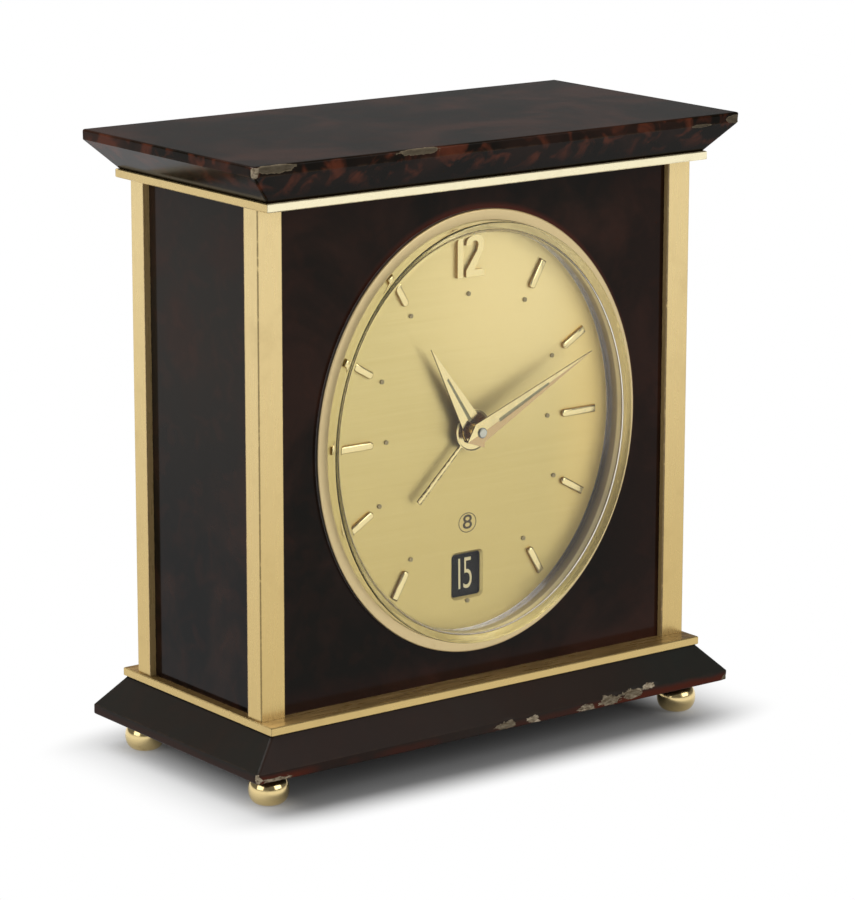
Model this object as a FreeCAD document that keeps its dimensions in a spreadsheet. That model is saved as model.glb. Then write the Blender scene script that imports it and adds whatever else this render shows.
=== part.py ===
import FreeCAD, Part
import Sketcher
import math
import os
from types import SimpleNamespace

# An eight-day desk alarm clock with a date window. Lacquered cap, plinth and panels are held in a
# frame of four brass posts between two brass plates, and long bolts clamp the whole case together.
# Millimetres. +Z is up, the dial faces -Y, and the origin lies on the table under the middle.

Vector = FreeCAD.Vector
Rotation = FreeCAD.Rotation
Placement = FreeCAD.Placement

# ------------------------------------------------------------------------------ driving sizes

SIZES = {
    # case
    "foot_height": 6.3,
    "foot_radius": 3.75,
    "foot_flat_radius": 1.6,
    "foot_belly_height": 2.6,
    "foot_neck_radius": 2.2,
    "foot_neck_height": 1.0,
    "foot_stud_radius": 1.0,
    "foot_stud_length": 4.0,
    "foot_inset_x": 7.0,
    "foot_inset_y": 6.9,
    "cap_flare_x": 5.4,
    "cap_flare_y": 3.8,
    "plinth_flare_x": 5.4,
    "plinth_flare_y": 3.5,
    "seat_inset_x": 0.4,
    "seat_inset_y": 0.5,
    "lip_height": 1.9,
    "bevel_height": 5.4,
    "lacquer_edge": 0.35,
    "cap_round": 2.0,
    "plinth_round": 0.8,
    "plate_overhang_x": 0.6,
    "plate_overhang_y": 4.0,
    "plate_thickness": 1.6,
    "plate_edge": 0.15,
    "post_height": 92.7,
    "post_span_x": 98.8,
    "post_span_y": 40.4,
    "post_width": 5.3,
    "post_thickness": 4.2,
    "post_edge": 0.2,
    "groove_depth": 0.6,
    "front_recess": 1.2,
    "side_recess": 1.3,
    "front_thickness": 4.0,
    "side_thickness": 2.4,
    "bolt_radius": 1.0,
    "bolt_inset_x": 3.2,
    "bolt_inset_y": 2.0,
    "bolt_sink": 0.3,
    "bolt_head_radius": 1.5,
    "bolt_head_height": 1.5,
    "bolt_grip": 4.5,
    "bolt_play": 0.05,
    # window and dial
    "bezel_width": 73.0,
    "bezel_height": 82.8,
    "bezel_rise": 1.0,
    "bezel_round": 0.7,
    "bezel_ring": 2.05,
    "bezel_overlap": 1.4,
    "bezel_play": 0.05,
    "crystal_play": 0.05,
    "crystal_wall": 1.4,
    "crystal_front": 1.2,
    "crystal_rise": 3.2,
    "crystal_round": 0.4,
    "dial_recess": 3.4,
    "dial_thickness": 0.6,
    "dial_hole_radius": 2.5,
    "window_width": 6.6,
    "window_height": 8.2,
    "window_drop": 27.8,
    "window_round": 0.7,
    "window_bevel": 0.45,
    "marker_reach_x": 29.9,
    "marker_reach_z": 36.4,
    "marker_width": 1.45,
    "marker_height": 0.75,
    "marker_short": 5.8,
    "marker_long": 8.0,
    "numeral_height": 7.9,
    "numeral_width": 6.0,
    "numeral_stroke": 1.25,
    "dot_radius": 0.42,
    "dot_height": 0.25,
    # hands
    "minute_hand_length": 28.7,
    "minute_hand_width": 4.1,
    "minute_hand_tail": 3.4,
    "minute_hand_shoulder": 0.5,
    "minute_hand_angle": 65.1,
    "minute_lume_start": 4.4,
    "minute_lume_end": 17.3,
    "hour_hand_length": 19.3,
    "hour_hand_width": 4.9,
    "hour_hand_tail": 4.0,
    "hour_hand_shoulder": 1.0,
    "hour_hand_angle": 328.3,
    "hour_lume_start": 2.4,
    "hour_lume_end": 12.4,
    "alarm_hand_length": 17.3,
    "alarm_hand_width": 1.0,
    "alarm_hub_radius": 3.9,
    "alarm_hand_angle": 226.0,
    "lume_width": 0.7,
    "hand_thickness": 0.3,
    "hand_ridge": 0.3,
    "hour_hand_gap": 0.35,
    "minute_hand_gap": 1.5,
    "hand_lift": 1.4,
    "pin_rise": 0.55,
    # shafts on the dial axis, from the inside out
    "arbor_radius": 1.0,
    "cannon_radius": 1.4,
    "hour_pipe_radius": 1.9,
    "alarm_pipe_radius": 2.4,
    "shaft_play": 0.05,
    # calendar
    "date_disc_radius": 32.6,
    "date_disc_bore": 20.5,
    "date_tooth_depth": 1.2,
    "date_disc_thickness": 0.4,
    "date_disc_gap": 0.6,
    "calendar_plate_margin": 3.4,
    "calendar_plate_thickness": 0.8,
    # movement
    "movement_radius": 29.0,
    "movement_plate": 1.6,
    "movement_depth": 16.8,
    "motion_space": 3.1,
    "pillar_radius": 1.6,
    "pillar_circle": 26.0,
    "pivot_radius": 0.4,
    "pivot_play": 0.05,
    "small_arbor_radius": 0.6,
    "wheel_thickness": 0.6,
    "barrel_x": 13.2,
    "barrel_drop": 8.2,
    "time_barrel_radius": 10.6,
    "alarm_barrel_radius": 7.6,
    "barrel_length": 9.8,
    "barrel_arbor_radius": 1.5,
    "balance_radius": 5.6,
    # back
    "back_cover_radius": 35.0,
    "back_opening_radius": 31.5,
    "back_cover_thickness": 1.0,
    "knob_radius": 3.5,
    "knob_length": 4.2,
    "knob_gap": 0.8,
    "key_wing": 13.0,
    "key_wing_height": 4.4,
    "key_wing_thickness": 1.3,
    "screw_radius": 0.8,
    "screw_head_radius": 1.5,
    "screw_head_height": 0.8,
    "screw_length": 4.4,
    "cover_screw_circle": 33.2,
}

# Teeth of each pair, driver first, and the module that sets their centre distance.
CANNON_TEETH, MINUTE_WHEEL_TEETH, MOTION_MODULE = 10, 30, 0.3
MINUTE_PINION_TEETH, HOUR_WHEEL_TEETH = 8, 32
DATE_PINION_TEETH, DATE_DRIVER_TEETH, DATE_MODULE = 12, 24, 0.675
ALARM_WHEEL_TEETH, ALARM_PINION_TEETH, ALARM_MODULE = 36, 12, 0.35
TIME_BARREL_TEETH, INTERMEDIATE_PINION_TEETH, BARREL_MODULE = 60, 10, 0.4
INTERMEDIATE_TEETH, CENTRE_PINION_TEETH, INTERMEDIATE_MODULE = 40, 10, 0.35
CENTRE_TEETH, THIRD_PINION_TEETH, CENTRE_MODULE = 48, 6, 0.28
THIRD_TEETH, FOURTH_PINION_TEETH, THIRD_MODULE = 45, 6, 0.25
FOURTH_TEETH, ESCAPE_PINION_TEETH, FOURTH_MODULE = 48, 6, 0.22
ESCAPE_TEETH = 15
ALARM_BARREL_TEETH, STRIKE_PINION_TEETH, ALARM_BARREL_MODULE = 40, 8, 0.45
STRIKE_TEETH = 16
DATE_TEETH = 31

# Clock angles, clockwise from 12 as seen from the front, of each axis from the one before it.
MINUTE_WHEEL_ANGLE = 90.0
DATE_DRIVER_ANGLE = 240.0
ALARM_SETTING_ANGLE = 175.0
THIRD_ANGLE = 20.0
FOURTH_ANGLE = 30.0
ESCAPE_ANGLE = 310.0
FORK_ANGLE, FORK_DISTANCE = 275.0, 4.9
BALANCE_ANGLE, BALANCE_DISTANCE = 265.0, 6.4
STRIKE_ANGLE = 350.0
HAMMER_ANGLE, HAMMER_DISTANCE = 45.0, 9.5

doc = FreeCAD.newDocument("desk_clock")
sheet = doc.addObject("Spreadsheet::Sheet", "Sizes")
for row, (alias, value) in enumerate(SIZES.items(), start=1):
    sheet.set(f"A{row}", alias.replace("_", " "))
    sheet.set(f"B{row}", str(value))
    sheet.setAlias(f"B{row}", alias)
doc.recompute()


def text_of(size):
    """What the expression engine reads for a size or a bare number."""
    return size.text if isinstance(size, Size) else repr(float(size))


class Size(float):
    """A number that remembers the spreadsheet expression that it comes from."""

    def __new__(cls, value, text):
        size = super().__new__(cls, value)
        size.text = text
        return size

    def __add__(self, other):
        return Size(float(self) + float(other), f"({self.text} + {text_of(other)})")

    def __radd__(self, other):
        return Size(float(other) + float(self), f"({text_of(other)} + {self.text})")

    def __sub__(self, other):
        return Size(float(self) - float(other), f"({self.text} - {text_of(other)})")

    def __rsub__(self, other):
        return Size(float(other) - float(self), f"({text_of(other)} - {self.text})")

    def __mul__(self, other):
        return Size(float(self) * float(other), f"({self.text} * {text_of(other)})")

    def __rmul__(self, other):
        return Size(float(other) * float(self), f"({text_of(other)} * {self.text})")

    def __truediv__(self, other):
        return Size(float(self) / float(other), f"({self.text} / {text_of(other)})")

    def __neg__(self):
        return Size(-float(self), f"(0 - {self.text})")


mm = SimpleNamespace(**{alias: Size(float(sheet.get(alias)), f"Sizes.{alias}") for alias in SIZES})

# ------------------------------------------------------------------------------ case outline
# The posts set the plates, the plates set the lacquered cap and plinth, and the plinth sets the feet.

PLATE_LENGTH = mm.post_span_x + 2 * mm.plate_overhang_x
PLATE_DEPTH = mm.post_span_y + 2 * mm.plate_overhang_y
SEAT_LENGTH = PLATE_LENGTH - 2 * mm.seat_inset_x
SEAT_DEPTH = PLATE_DEPTH - 2 * mm.seat_inset_y
CAP_LENGTH = SEAT_LENGTH + 2 * mm.cap_flare_x
CAP_DEPTH = SEAT_DEPTH + 2 * mm.cap_flare_y
PLINTH_LENGTH = SEAT_LENGTH + 2 * mm.plinth_flare_x
PLINTH_DEPTH = SEAT_DEPTH + 2 * mm.plinth_flare_y

# ------------------------------------------------------------------------------ levels

Z_BOTTOM_PLATE = mm.foot_height + mm.lip_height + mm.bevel_height
Z_POSTS = Z_BOTTOM_PLATE + mm.plate_thickness
Z_TOP_PLATE = Z_POSTS + mm.post_height
Z_CAP = Z_TOP_PLATE + mm.plate_thickness
Z_DIAL = Z_POSTS + mm.post_height / 2

Y_POST_FACE = -mm.post_span_y / 2
Y_PANEL_FACE = Y_POST_FACE + mm.front_recess
Y_PANEL_BACK = Y_PANEL_FACE + mm.front_thickness
Y_DIAL_FACE = Y_PANEL_FACE + mm.dial_recess
Y_DIAL_BACK = Y_DIAL_FACE + mm.dial_thickness
Y_CRYSTAL_FACE = Y_PANEL_FACE - mm.crystal_rise
Y_DATE_FACE = Y_DIAL_BACK + mm.date_disc_gap
Y_CALENDAR = Y_DATE_FACE + mm.date_disc_thickness + 0.1
Y_CALENDAR_BACK = Y_CALENDAR + mm.calendar_plate_thickness
Y_FRONT_PLATE = Y_CALENDAR_BACK + mm.motion_space
Y_TRAIN = Y_FRONT_PLATE + mm.movement_plate
Y_REAR_PLATE = Y_TRAIN + mm.movement_depth
Y_MOVEMENT_BACK = Y_REAR_PLATE + mm.movement_plate
Y_BACK_PANEL = -Y_PANEL_FACE
Y_COVER_BACK = Y_BACK_PANEL + mm.back_cover_thickness
Y_KNOBS = Y_COVER_BACK + mm.knob_gap

Y_ALARM_HAND = Y_DIAL_FACE - mm.hand_lift - mm.hand_thickness
Y_HOUR_HAND = Y_ALARM_HAND - mm.hour_hand_gap - mm.hand_thickness
Y_MINUTE_HAND = Y_HOUR_HAND - mm.minute_hand_gap - mm.hand_thickness
Y_PIN = Y_MINUTE_HAND - mm.pin_rise

sub_parts = []

# ------------------------------------------------------------------------------ building blocks


def keep(item, label):
    """Give a finished sub-part the name of its node."""
    item.Label = label
    sub_parts.append(item)
    return item


def place(item, x, y, z):
    """Tie the place of a document object to the sheet."""
    for axis, size in (("x", x), ("y", y), ("z", z)):
        item.setExpression(f"Placement.Base.{axis}", text_of(size))


def block(name, low, lengths):
    """A box from its lowest corner."""
    item = doc.addObject("Part::Box", name)
    for edge, size in zip(("Length", "Width", "Height"), lengths):
        item.setExpression(edge, text_of(size))
    place(item, *low)
    return item


def rod(name, radius, start, length, along="y"):
    """A cylinder that runs along +Y or +Z from its start."""
    item = doc.addObject("Part::Cylinder", name)
    if along == "y":
        item.Placement = Placement(Vector(), Rotation(Vector(1, 0, 0), -90))
    item.setExpression("Radius", text_of(radius))
    item.setExpression("Height", text_of(length))
    place(item, *start)
    return item


def cut(name, base, *tools):
    """A part less one or more others."""
    tool = tools[0] if len(tools) == 1 else join(f"{name}_tools", *tools)
    item = doc.addObject("Part::Cut", name)
    item.Base = base
    item.Tool = tool
    return item


def join(name, *pieces):
    """Several shapes as one."""
    item = doc.addObject("Part::MultiFuse", name)
    item.Shapes = list(pieces)
    return item


def feature(name, shape, x=0, y=0, z=0):
    """A shape made with Part's own functions, then put in its place."""
    item = doc.addObject("Part::Feature", name)
    item.Shape = shape
    place(item, x, y, z)
    return item


def oval(name, inset, start_y, length):
    """A solid oval, as wide and high as the bezel less an inset all round, that runs along +Y."""
    half_width = mm.bezel_width / 2 - inset
    half_height = mm.bezel_height / 2 - inset
    upright = half_height >= half_width
    outline = doc.addObject("Part::Ellipse", f"{name}_outline")
    outline.setExpression("MajorRadius", text_of(half_height if upright else half_width))
    outline.setExpression("MinorRadius", text_of(half_width if upright else half_height))
    turn = Rotation(Vector(1, 1, 1), 240) if upright else Rotation(Vector(1, 0, 0), -90)
    outline.Placement = Placement(Vector(), turn)
    place(outline, 0, start_y, Z_DIAL)
    prism = doc.addObject("Part::Extrusion", name)
    prism.Base = outline
    prism.DirMode = "Custom"
    prism.Dir = Vector(0, 1, 0)
    prism.Solid = True
    prism.setExpression("LengthFwd", text_of(length))
    return prism


def rounded(name, base, radius, wanted, kind="Fillet"):
    """A fillet or chamfer on the edges that a test picks out."""
    doc.recompute()
    edges = [(n, radius, radius) for n, edge in enumerate(base.Shape.Edges, start=1) if wanted(edge)]
    item = doc.addObject(f"Part::{kind}", name)
    item.Base = base
    item.Edges = edges
    return item


def body(name):
    """An empty PartDesign body."""
    return doc.addObject("PartDesign::Body", name)


def origin_plane(owner, role):
    """One of a body's own origin planes."""
    return [item for item in owner.Origin.OriginFeatures if item.Role == role][0]


def sketch_on(owner, name, role="XY_Plane", lift=0):
    """An empty sketch on an origin plane, lifted along the plane's normal."""
    sketch = owner.newObject("Sketcher::SketchObject", name)
    sketch.AttachmentSupport = [(origin_plane(owner, role), "")]
    sketch.MapMode = "FlatFace"
    sketch.setExpression("AttachmentOffset.Base.z", text_of(lift))
    return sketch


def pin(sketch, geometry, point, corner):
    """Fix one point of a sketch at sizes measured from the sketch's origin."""
    for kind, size in zip(("DistanceX", "DistanceY"), corner):
        index = sketch.addConstraint(Sketcher.Constraint(kind, -1, 1, geometry, point, float(size)))
        sketch.setExpression(f"Constraints[{index}]", text_of(size))


def draw_outline(sketch, corners):
    """A closed outline of straight lines through the corners."""
    first = sketch.GeometryCount
    for corner, following in zip(corners, corners[1:] + corners[:1]):
        line = Part.LineSegment(Vector(*map(float, corner), 0), Vector(*map(float, following), 0))
        sketch.addGeometry(line, False)
    for index, corner in enumerate(corners):
        after = first + (index + 1) % len(corners)
        sketch.addConstraint(Sketcher.Constraint("Coincident", first + index, 2, after, 1))
        pin(sketch, first + index, 1, corner)


def draw_rectangle(sketch, width, height):
    """A rectangle about the sketch's origin."""
    across, up = width / 2, height / 2
    draw_outline(sketch, [(-across, -up), (across, -up), (across, up), (-across, up)])


def draw_circle(sketch, centre, radius):
    """A circle whose centre and radius follow the sheet."""
    middle = Vector(*map(float, centre), 0)
    index = sketch.addGeometry(Part.Circle(middle, Vector(0, 0, 1), float(radius)), False)
    pin(sketch, index, 3, centre)
    limit = sketch.addConstraint(Sketcher.Constraint("Radius", index, float(radius)))
    sketch.setExpression(f"Constraints[{limit}]", text_of(radius))


def pad(owner, name, sketch, length):
    """Material from a sketch, along its normal."""
    item = owner.newObject("PartDesign::Pad", name)
    item.Profile = sketch
    item.setExpression("Length", text_of(length))
    sketch.Visibility = False
    return item


def pocket(owner, name, sketch, length):
    """A cut from a sketch, against its normal."""
    item = owner.newObject("PartDesign::Pocket", name)
    item.Profile = sketch
    item.setExpression("Length", text_of(length))
    return item


def dress(owner, kind, name, size, wanted):
    """A chamfer or fillet on the edges of the body's last feature that a test picks out."""
    doc.recompute()
    base = owner.Tip
    edges = [f"Edge{n}" for n, edge in enumerate(base.Shape.Edges, start=1) if wanted(edge)]
    item = owner.newObject(f"PartDesign::{kind}", name)
    item.Base = (base, edges)
    item.setExpression("Size" if kind == "Chamfer" else "Radius", text_of(size))
    return item


def spun(profile):
    """A solid of revolution about the Y axis from (radius, y) corners."""
    corners = [Vector(radius, y, 0) for radius, y in profile]
    outline = Part.makePolygon(corners + corners[:1])
    return Part.Face(outline).revolve(Vector(), Vector(0, 1, 0), 360)


def shaft(*steps, bore=0):
    """A stepped round shaft along Y: each step is its radius and where it ends."""
    (_, start), rest = steps[0], steps[1:]
    outer = []
    y = start
    for radius, end in rest:
        outer += [(radius, y), (radius, end)]
        y = end
    return spun([(bore, start)] + outer + [(bore, y)])


def clock_point(angle, distance, origin=(0, 0)):
    """The (x, z) at a clock angle and distance from a point."""
    turn = math.radians(angle)
    return origin[0] + distance * math.sin(turn), origin[1] + distance * math.cos(turn)


def prism(points, start, end):
    """A closed outline of (x, z) points, carried along Y."""
    corners = [Vector(x, start, z) for x, z in points]
    face = Part.Face(Part.makePolygon(corners + corners[:1]))
    return face.extrude(Vector(0, end - start, 0))


WHEEL_FORM = SimpleNamespace(rise=0.85, fall=1.1, root=0.72, tip=0.34)
PINION_FORM = SimpleNamespace(rise=0.6, fall=1.0, root=0.5, tip=0.38)


def toothed(teeth, module, phase, start, end, form=WHEEL_FORM):
    """A toothed disc. The phase is the clock angle of its first tooth."""
    pitch_radius = teeth * module / 2
    low, high = pitch_radius - form.fall * module, pitch_radius + form.rise * module
    points = []
    for tooth in range(teeth):
        middle = phase + tooth * 360 / teeth
        for radius, half in ((low, -form.root), (high, -form.tip), (high, form.tip), (low, form.root)):
            points.append(clock_point(middle + math.degrees(half * module / radius), radius))
    return prism(points, start, end)


def mesh_phase(teeth, other_teeth, direction, phase=0.0):
    """The phase of a second gear that brings its gap to the first gear's tooth."""
    return direction + 180 + 180 / other_teeth - (phase - direction) * teeth / other_teeth


def spacing(teeth, other_teeth, module):
    """The distance between the axes of two gears."""
    return module * (teeth + other_teeth) / 2


def windows(inner, outer, count, arm, start, end):
    """The openings between a wheel's arms, as one tool."""
    tools = []
    for index in range(count):
        middle = index * 360 / count
        half = 180 / count
        near = half - math.degrees(arm / 2 / inner)
        far = half - math.degrees(arm / 2 / outer)
        points = [
            clock_point(middle - near, inner),
            clock_point(middle - far, outer),
            clock_point(middle, outer),
            clock_point(middle + far, outer),
            clock_point(middle + near, inner),
        ]
        tools.append(prism(points, start, end))
    return tools


def movement_piece(label, shape, centre=(0, 0)):
    """A finished piece of the movement. Its shape is drawn about its own axis."""
    return keep(feature(label, shape, centre[0], 0, Z_DIAL + centre[1]), label)


def at_height(edge, z):
    """Whether a straight edge lies level at a height."""
    return all(abs(vertex.Point.z - z) < 1e-6 for vertex in edge.Vertexes)


# ------------------------------------------------------------------------------ case


def make_cap():
    """The lacquered top: a flat slab whose sides slope in to the brass plate under it."""
    cap = body("cap")
    place(cap, 0, 0, Z_CAP)
    seat = sketch_on(cap, "cap_seat")
    draw_rectangle(seat, SEAT_LENGTH, SEAT_DEPTH)
    rim = sketch_on(cap, "cap_rim", lift=mm.bevel_height)
    draw_rectangle(rim, CAP_LENGTH, CAP_DEPTH)
    bevel = cap.newObject("PartDesign::AdditiveLoft", "cap_bevel")
    bevel.Profile = seat
    bevel.Sections = [rim]
    lip = sketch_on(cap, "cap_lip_outline", lift=mm.bevel_height)
    draw_rectangle(lip, CAP_LENGTH, CAP_DEPTH)
    pad(cap, "cap_lip", lip, mm.lip_height)
    top = mm.bevel_height + mm.lip_height
    dress(cap, "Fillet", "cap_top_edge", mm.lacquer_edge, lambda edge: at_height(edge, top))
    dress(cap, "Fillet", "cap_lower_edge", mm.cap_round, lambda edge: at_height(edge, mm.bevel_height))
    holes = sketch_on(cap, "cap_bolt_holes")
    draw_bolt_circles(holes, mm.bolt_radius + mm.bolt_play)
    drill = pocket(cap, "cap_bolt_drilling", holes, mm.bolt_grip)
    drill.Reversed = True
    keep(cap, "cap")


def make_plinth():
    """The lacquered base, the cap turned over, drilled for the bolts and the feet."""
    plinth = body("plinth")
    place(plinth, 0, 0, mm.foot_height)
    lip = sketch_on(plinth, "plinth_lip_outline")
    draw_rectangle(lip, PLINTH_LENGTH, PLINTH_DEPTH)
    pad(plinth, "plinth_lip", lip, mm.lip_height)
    rim = sketch_on(plinth, "plinth_rim", lift=mm.lip_height)
    draw_rectangle(rim, PLINTH_LENGTH, PLINTH_DEPTH)
    seat = sketch_on(plinth, "plinth_seat", lift=mm.lip_height + mm.bevel_height)
    draw_rectangle(seat, SEAT_LENGTH, SEAT_DEPTH)
    bevel = plinth.newObject("PartDesign::AdditiveLoft", "plinth_bevel")
    bevel.Profile = rim
    bevel.Sections = [seat]
    dress(plinth, "Fillet", "plinth_lower_edge", mm.lacquer_edge, lambda edge: at_height(edge, 0))
    dress(plinth, "Fillet", "plinth_upper_edge", mm.plinth_round, lambda edge: at_height(edge, mm.lip_height))
    holes = sketch_on(plinth, "plinth_bolt_holes")
    draw_bolt_circles(holes, mm.bolt_radius + mm.bolt_play)
    through = pocket(plinth, "plinth_bolt_drilling", holes, mm.lip_height + mm.bevel_height)
    through.Reversed = True
    heads = sketch_on(plinth, "plinth_bolt_heads")
    draw_bolt_circles(heads, mm.bolt_head_radius + mm.bolt_play)
    sink = pocket(plinth, "plinth_counterbores", heads, mm.bolt_sink + mm.bolt_head_height)
    sink.Reversed = True
    studs = sketch_on(plinth, "plinth_foot_holes")
    for x, y in foot_centres():
        draw_circle(studs, (x, y), mm.foot_stud_radius)
    threads = pocket(plinth, "plinth_foot_drilling", studs, mm.foot_stud_length)
    threads.Reversed = True
    keep(plinth, "plinth")


def bolt_centres():
    """The axis of each tie bolt. It runs through its post."""
    x = mm.post_span_x / 2 - mm.bolt_inset_x
    y = mm.post_span_y / 2 - mm.bolt_inset_y
    return [(-x, -y), (x, -y), (x, y), (-x, y)]


def draw_bolt_circles(sketch, radius):
    """One circle at each tie bolt."""
    for x, y in bolt_centres():
        draw_circle(sketch, (x, y), radius)


def foot_centres():
    """The middle of each foot."""
    x = PLINTH_LENGTH / 2 - mm.foot_inset_x
    y = PLINTH_DEPTH / 2 - mm.foot_inset_y
    return [(-x, -y), (x, -y), (x, y), (-x, y)]


def make_plate(label, z):
    """A flat brass plate between the posts and the lacquered wood."""
    plate = body(label)
    place(plate, 0, 0, z)
    outline = sketch_on(plate, f"{label}_outline")
    draw_rectangle(outline, PLATE_LENGTH, PLATE_DEPTH)
    pad(plate, f"{label}_slab", outline, mm.plate_thickness)
    dress(plate, "Chamfer", f"{label}_edges", mm.plate_edge, lambda edge: edge.Length > 10)
    holes = sketch_on(plate, f"{label}_holes")
    draw_bolt_circles(holes, mm.bolt_radius + mm.bolt_play)
    drill = pocket(plate, f"{label}_drilling", holes, mm.plate_thickness)
    drill.Reversed = True
    keep(plate, label)


def make_post(label, side, front):
    """A brass corner post, grooved for the two panels that meet in it and bored for its bolt."""
    post = body(label)
    x = side * (mm.post_span_x / 2 - mm.post_width / 2)
    y = front * (mm.post_span_y / 2 - mm.post_thickness / 2)
    place(post, x, y, Z_POSTS)
    outline = sketch_on(post, f"{label}_outline")
    across, deep = mm.post_width / 2, mm.post_thickness / 2
    # seen from above: out is away from the middle of the clock, in is towards it
    inner_x = -side * across
    groove_x = -side * (across - mm.groove_depth)
    front_y = front * (deep - mm.front_recess)
    inner_y = -front * deep
    groove_y = -front * (deep - mm.groove_depth)
    side_out = side * (across - mm.side_recess)
    side_in = side * (across - mm.side_recess - mm.side_thickness)
    draw_outline(
        outline,
        [
            (side * across, front * deep),
            (inner_x, front * deep),
            (inner_x, front_y),
            (groove_x, front_y),
            (groove_x, inner_y),
            (side_in, inner_y),
            (side_in, groove_y),
            (side_out, groove_y),
            (side_out, inner_y),
            (side * across, inner_y),
        ],
    )
    pad(post, f"{label}_bar", outline, mm.post_height)

    def outer_corner(edge):
        upright = abs(edge.Length - mm.post_height) < 1e-6
        return upright and all(
            abs(abs(vertex.Point.y) - deep) < 1e-6
            and vertex.Point.y * front > 0
            for vertex in edge.Vertexes
        )

    dress(post, "Chamfer", f"{label}_corners", mm.post_edge, outer_corner)
    bore = sketch_on(post, f"{label}_bore_outline")
    bore_x = side * (mm.post_width / 2 - mm.bolt_inset_x)
    bore_y = front * (mm.post_thickness / 2 - mm.bolt_inset_y)
    draw_circle(bore, (bore_x, bore_y), mm.bolt_radius + mm.bolt_play)
    drill = pocket(post, f"{label}_bore", bore, mm.post_height)
    drill.Reversed = True
    keep(post, label)


def make_front_panel():
    """The lacquered front with the oval opening for the bezel."""
    length = mm.post_span_x - 2 * (mm.post_width - mm.groove_depth)
    slab = block(
        "front_slab",
        (-length / 2, Y_PANEL_FACE, Z_POSTS),
        (length, mm.front_thickness, mm.post_height),
    )
    opening = oval("front_opening", mm.bezel_overlap, Y_PANEL_FACE, mm.front_thickness)
    holes = [
        rod(f"front_screw_hole_{n}", mm.screw_radius, (x, Y_PANEL_FACE + 1.3, Z_DIAL + z), 4)
        for n, (x, z) in enumerate(calendar_screws())
    ]
    keep(cut("front_panel", slab, opening, *holes), "front_panel")


def make_rear_panel():
    """The lacquered back with the round opening that the brass cover closes."""
    length = mm.post_span_x - 2 * (mm.post_width - mm.groove_depth)
    slab = block(
        "rear_slab",
        (-length / 2, Y_BACK_PANEL - mm.front_thickness, Z_POSTS),
        (length, mm.front_thickness, mm.post_height),
    )
    start = Y_BACK_PANEL - mm.front_thickness
    opening = rod("rear_opening", mm.back_opening_radius, (0, start, Z_DIAL), mm.front_thickness)
    depth = mm.screw_length - mm.back_cover_thickness
    holes = [
        rod(f"rear_screw_hole_{n}", mm.screw_radius, (x, Y_BACK_PANEL - depth, Z_DIAL + z), depth)
        for n, (x, z) in enumerate(cover_screws())
    ]
    keep(cut("rear_panel", slab, opening, *holes), "rear_panel")


def make_side_panel(label, side):
    """A lacquered side that slides down into the posts' grooves."""
    panel = body(label)
    middle = mm.post_span_x / 2 - mm.side_recess - mm.side_thickness / 2
    place(panel, side * middle, 0, Z_POSTS)
    outline = sketch_on(panel, f"{label}_outline")
    width = mm.post_span_y - 2 * (mm.post_thickness - mm.groove_depth)
    draw_rectangle(outline, mm.side_thickness, width)
    pad(panel, f"{label}_board", outline, mm.post_height)
    keep(panel, label)


def make_feet():
    """Four turned brass buns, each with a stud that screws into the plinth."""
    belly = mm.foot_belly_height
    shoulder = mm.foot_height - mm.foot_neck_height
    turned = [
        Part.LineSegment(Vector(0, 0, 0), Vector(mm.foot_flat_radius, 0, 0)),
        Part.Arc(
            Vector(mm.foot_flat_radius, 0, 0),
            Vector(mm.foot_radius - 0.45, 0, 0.42 * belly),
            Vector(mm.foot_radius, 0, belly),
        ),
        Part.Arc(
            Vector(mm.foot_radius, 0, belly),
            Vector(mm.foot_radius - 0.42, 0, belly + 0.62 * (shoulder - belly)),
            Vector(mm.foot_neck_radius, 0, shoulder),
        ),
        Part.LineSegment(
            Vector(mm.foot_neck_radius, 0, shoulder), Vector(mm.foot_neck_radius, 0, mm.foot_height)
        ),
        Part.LineSegment(
            Vector(mm.foot_neck_radius, 0, mm.foot_height),
            Vector(mm.foot_stud_radius, 0, mm.foot_height),
        ),
        Part.LineSegment(
            Vector(mm.foot_stud_radius, 0, mm.foot_height),
            Vector(mm.foot_stud_radius, 0, mm.foot_height + mm.foot_stud_length),
        ),
        Part.LineSegment(
            Vector(mm.foot_stud_radius, 0, mm.foot_height + mm.foot_stud_length),
            Vector(0, 0, mm.foot_height + mm.foot_stud_length),
        ),
        Part.LineSegment(Vector(0, 0, mm.foot_height + mm.foot_stud_length), Vector(0, 0, 0)),
    ]
    profile = Part.Face(Part.Wire([curve.toShape() for curve in turned]))
    foot = profile.revolve(Vector(), Vector(0, 0, 1), 360)
    feet = []
    for x, y in foot_centres():
        copy = foot.copy()
        copy.translate(Vector(x, y, 0))
        feet.append(copy)
    keep(feature("feet", Part.makeCompound(feet)), "feet")


def make_tie_bolts():
    """Four long bolts that run up through plinth, plates and posts into the cap."""
    start = mm.foot_height + mm.bolt_sink
    top = Z_CAP + mm.bolt_grip
    bolts = []
    for x, y in bolt_centres():
        head = Part.makeCylinder(mm.bolt_head_radius, mm.bolt_head_height, Vector(x, y, start))
        shank = Part.makeCylinder(mm.bolt_radius, top - start, Vector(x, y, start))
        bolts.append(head.fuse(shank).removeSplitter())
    keep(feature("tie_bolts", Part.makeCompound(bolts)), "tie_bolts")


# ------------------------------------------------------------------------------ window and dial


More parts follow.
